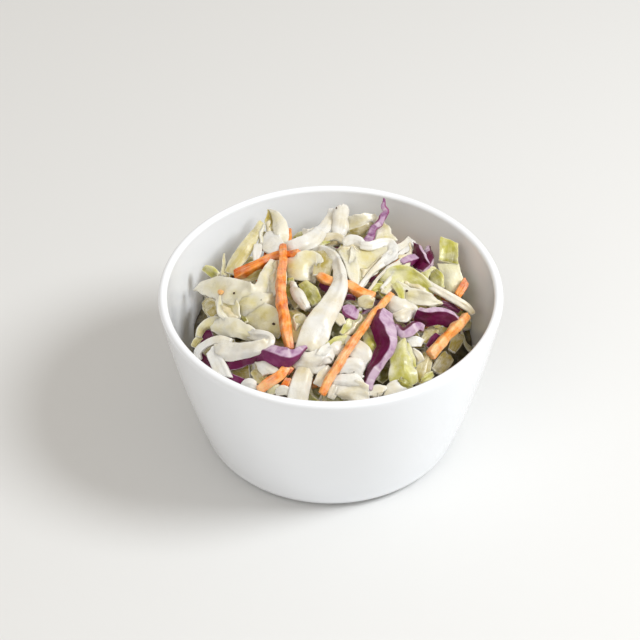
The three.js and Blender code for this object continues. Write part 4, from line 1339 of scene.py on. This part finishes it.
pale_shreds = rib_shreds + leaf_shreds + green_shreds
bare_surface = surface_of(pale_shreds + red_shreds + carrot_shreds)
filled = rolled_over(bare_surface, DRESSING_BALL, DRESSING_CELL)
rise = filled - bare_surface
node_x, node_y = np.meshgrid(dressing_axis, dressing_axis, indexing="ij")
nodes_flat = np.column_stack([node_x.ravel(), node_y.ravel()])
cloud = waves(nodes_flat, DRESSING_CLOUD, np.random.default_rng(77), layers=7).reshape(cells, cells)
wet = (rise > DRESSING_LEAST) & (rise < DRESSING_MOST * (1 + 0.3 * cloud)) & (bare_surface > 0)
wet &= surface_of(pale_shreds) == bare_surface
wet &= np.hypot(node_x, node_y) < inner_radius(filled) - DRESSING_WALL_GAP
for _ in range(2):
    wet &= sum(np.roll(wet, s, axis).astype(int) for s in (1, -1) for axis in (0, 1)) >= 2

# Narrow threads and small patches of it are dropped. Each patch takes the highest number found in it.
block = grown(shrunk(shrunk(wet)))
patch = np.where(block, np.arange(block.size).reshape(block.shape) + 1, 0)
for _ in range(JOINING_PASSES):
    best = patch.copy()
    best[1:] = np.maximum(best[1:], patch[:-1])
    best[:-1] = np.maximum(best[:-1], patch[1:])
    best[:, 1:] = np.maximum(best[:, 1:], best[:, :-1])
    best[:, :-1] = np.maximum(best[:, :-1], best[:, 1:])
    patch = np.where(block, best, 0)
block &= np.bincount(patch.ravel())[patch] >= DRESSING_SMALLEST

# It thins away to nothing at the outline of each patch.
nodes = grown(block)
inward = np.zeros((cells, cells))
for _ in range(SWELL_RINGS):
    nodes = nodes & np.logical_and.reduce([np.roll(nodes, s, axis) for s in (1, -1) for axis in (0, 1)])
    inward += nodes
swell = (inward / SWELL_RINGS) * (2 - inward / SWELL_RINGS)
film_top = bare_surface + rise * swell + DRESSING_SWELL * swell - DRESSING_SINK


def sheet_body(block):
    """Closed thin body over the chosen squares of the grid, with its outline eased."""
    i, j = np.nonzero(block)
    corners = np.stack([i * cells + j, (i + 1) * cells + j, (i + 1) * cells + j + 1, i * cells + j + 1],
                       axis=1)
    used, flat = np.unique(corners, return_inverse=True)
    quads = flat.reshape(corners.shape)
    top = np.column_stack([nodes_flat[used], film_top.ravel()[used]])
    known = {tuple(edge) for k in range(4) for edge in quads[:, [k, (k + 1) % 4]]}
    border = np.array([edge for edge in known if (edge[1], edge[0]) not in known])
    for _ in range(EASING_PASSES):
        pull = np.zeros_like(top)
        count = np.zeros(len(top))
        for a, b in ((0, 1), (1, 0)):
            np.add.at(pull, border[:, a], top[border[:, b]])
            np.add.at(count, border[:, a], 1)
        on_edge = count > 0
        top[on_edge] = 0.5 * top[on_edge] + 0.5 * pull[on_edge] / count[on_edge, None]
    under = top - [0, 0, DRESSING_THICK]
    total = len(top)
    walls = np.column_stack([border[:, 1], border[:, 0], border[:, 0] + total, border[:, 1] + total])
    return np.vstack([top, under]), np.vstack([quads, quads[:, ::-1] + total, walls])


dressing = mesh_from("creamy_dressing", *sheet_body(block))
dressing_finish, tree, shader = new_material("creamy dressing")
pooled = noise(tree, position(tree), scale=260.0, detail=3.0)
cream = mix_colours(tree, spread(tree, pooled, 0.35, 0.65), srgb(222, 206, 162), srgb(234, 226, 204))
fill(tree, shader, {"Base Color": cream, "Roughness": spread(tree, pooled, 0.3, 0.7, 0.14, 0.3),
                    "Subsurface Weight": 0.5, "Subsurface Radius": MILKY, "Subsurface Scale": 1.5 * MM,
                    "Coat Weight": 0.35, "Coat Roughness": 0.12})
dressing.data.materials.append(dressing_finish)
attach(dressing, "root")
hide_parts("coleslaw")


# ---- Pepper -----------------------------------------------------------------------------------
# A few coarse flecks of ground black pepper, stuck down in the dressing. Each is given by the pixel where it
# shows and its size in millimetres.
PEPPER = [((234, 293), 0.9), ((274, 324), 1.05), ((407, 291), 0.95), ((336.5, 208), 0.8), ((261, 300), 0.4),
          ((354, 372), 0.4)]
PEPPER_SINK = 0.4
FLECK_RINGS = 7
FLECK_SECTORS = 10
FLECK_FLATS = 9


def first_seen(pixel):
    """Where the line of sight through a pixel first meets the shreds."""
    path = camera_point + np.arange(SIGHT_FROM, SIGHT_TO, 0.1)[:, None] * sight_lines([pixel])[0]
    i, j = np.clip(nearest_nodes(path), 0, cells - 1)
    return path[np.argmax(path[:, 2] < np.maximum(bare_surface, filled - PEPPER_SINK)[i, j])]


def fleck(at, size, dice):
    """A small broken grain: a rough ball with flats."""
    tilt = np.linspace(0, math.pi, FLECK_RINGS)[1:-1]
    angles = np.linspace(0, 2 * math.pi, FLECK_SECTORS, endpoint=False)
    body = np.array([(math.sin(a) * math.cos(b), math.sin(a) * math.sin(b), math.cos(a))
                     for a in tilt for b in angles] + [(0, 0, 1), (0, 0, -1)])
    flats = unit(dice.normal(size=(FLECK_FLATS, 3)))
    shrink = np.min(0.72 / np.maximum(body @ flats.T, 0.55), axis=1)
    body = body * np.minimum(shrink, 1.1)[:, None] * (size / 2) * dice.uniform(0.8, 1.2, 3)
    here = np.arange(FLECK_SECTORS)
    beside = (here + 1) % FLECK_SECTORS
    high = np.arange(len(tilt) - 1)[:, None] * FLECK_SECTORS
    low = high + FLECK_SECTORS
    sides = np.stack([high + here, low + here, low + beside, high + beside], axis=-1)
    top = np.full(FLECK_SECTORS, len(body) - 2)
    return body + at, np.vstack([sides.reshape(-1, 4), np.column_stack([here, beside, top, top]),
                                 np.column_stack([low[-1] + beside, low[-1] + here, top + 1, top + 1])])


dice = np.random.default_rng(15)
flecks = [fleck(first_seen(pixel), size, dice) for pixel, size in PEPPER]
pepper = mesh_from("pepper_flecks", *joined(flecks), smooth=False)
pepper_finish, tree, shader = new_material("ground black pepper")
speckle = noise(tree, position(tree), scale=2600.0, detail=2.0)
fill(tree, shader, {"Base Color": mix_colours(tree, speckle, srgb(24, 16, 12), srgb(84, 58, 38)),
                    "Roughness": spread(tree, speckle, 0.3, 0.7, 0.35, 0.7)})
pepper.data.materials.append(pepper_finish)
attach(pepper, "root")
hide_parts("coleslaw")
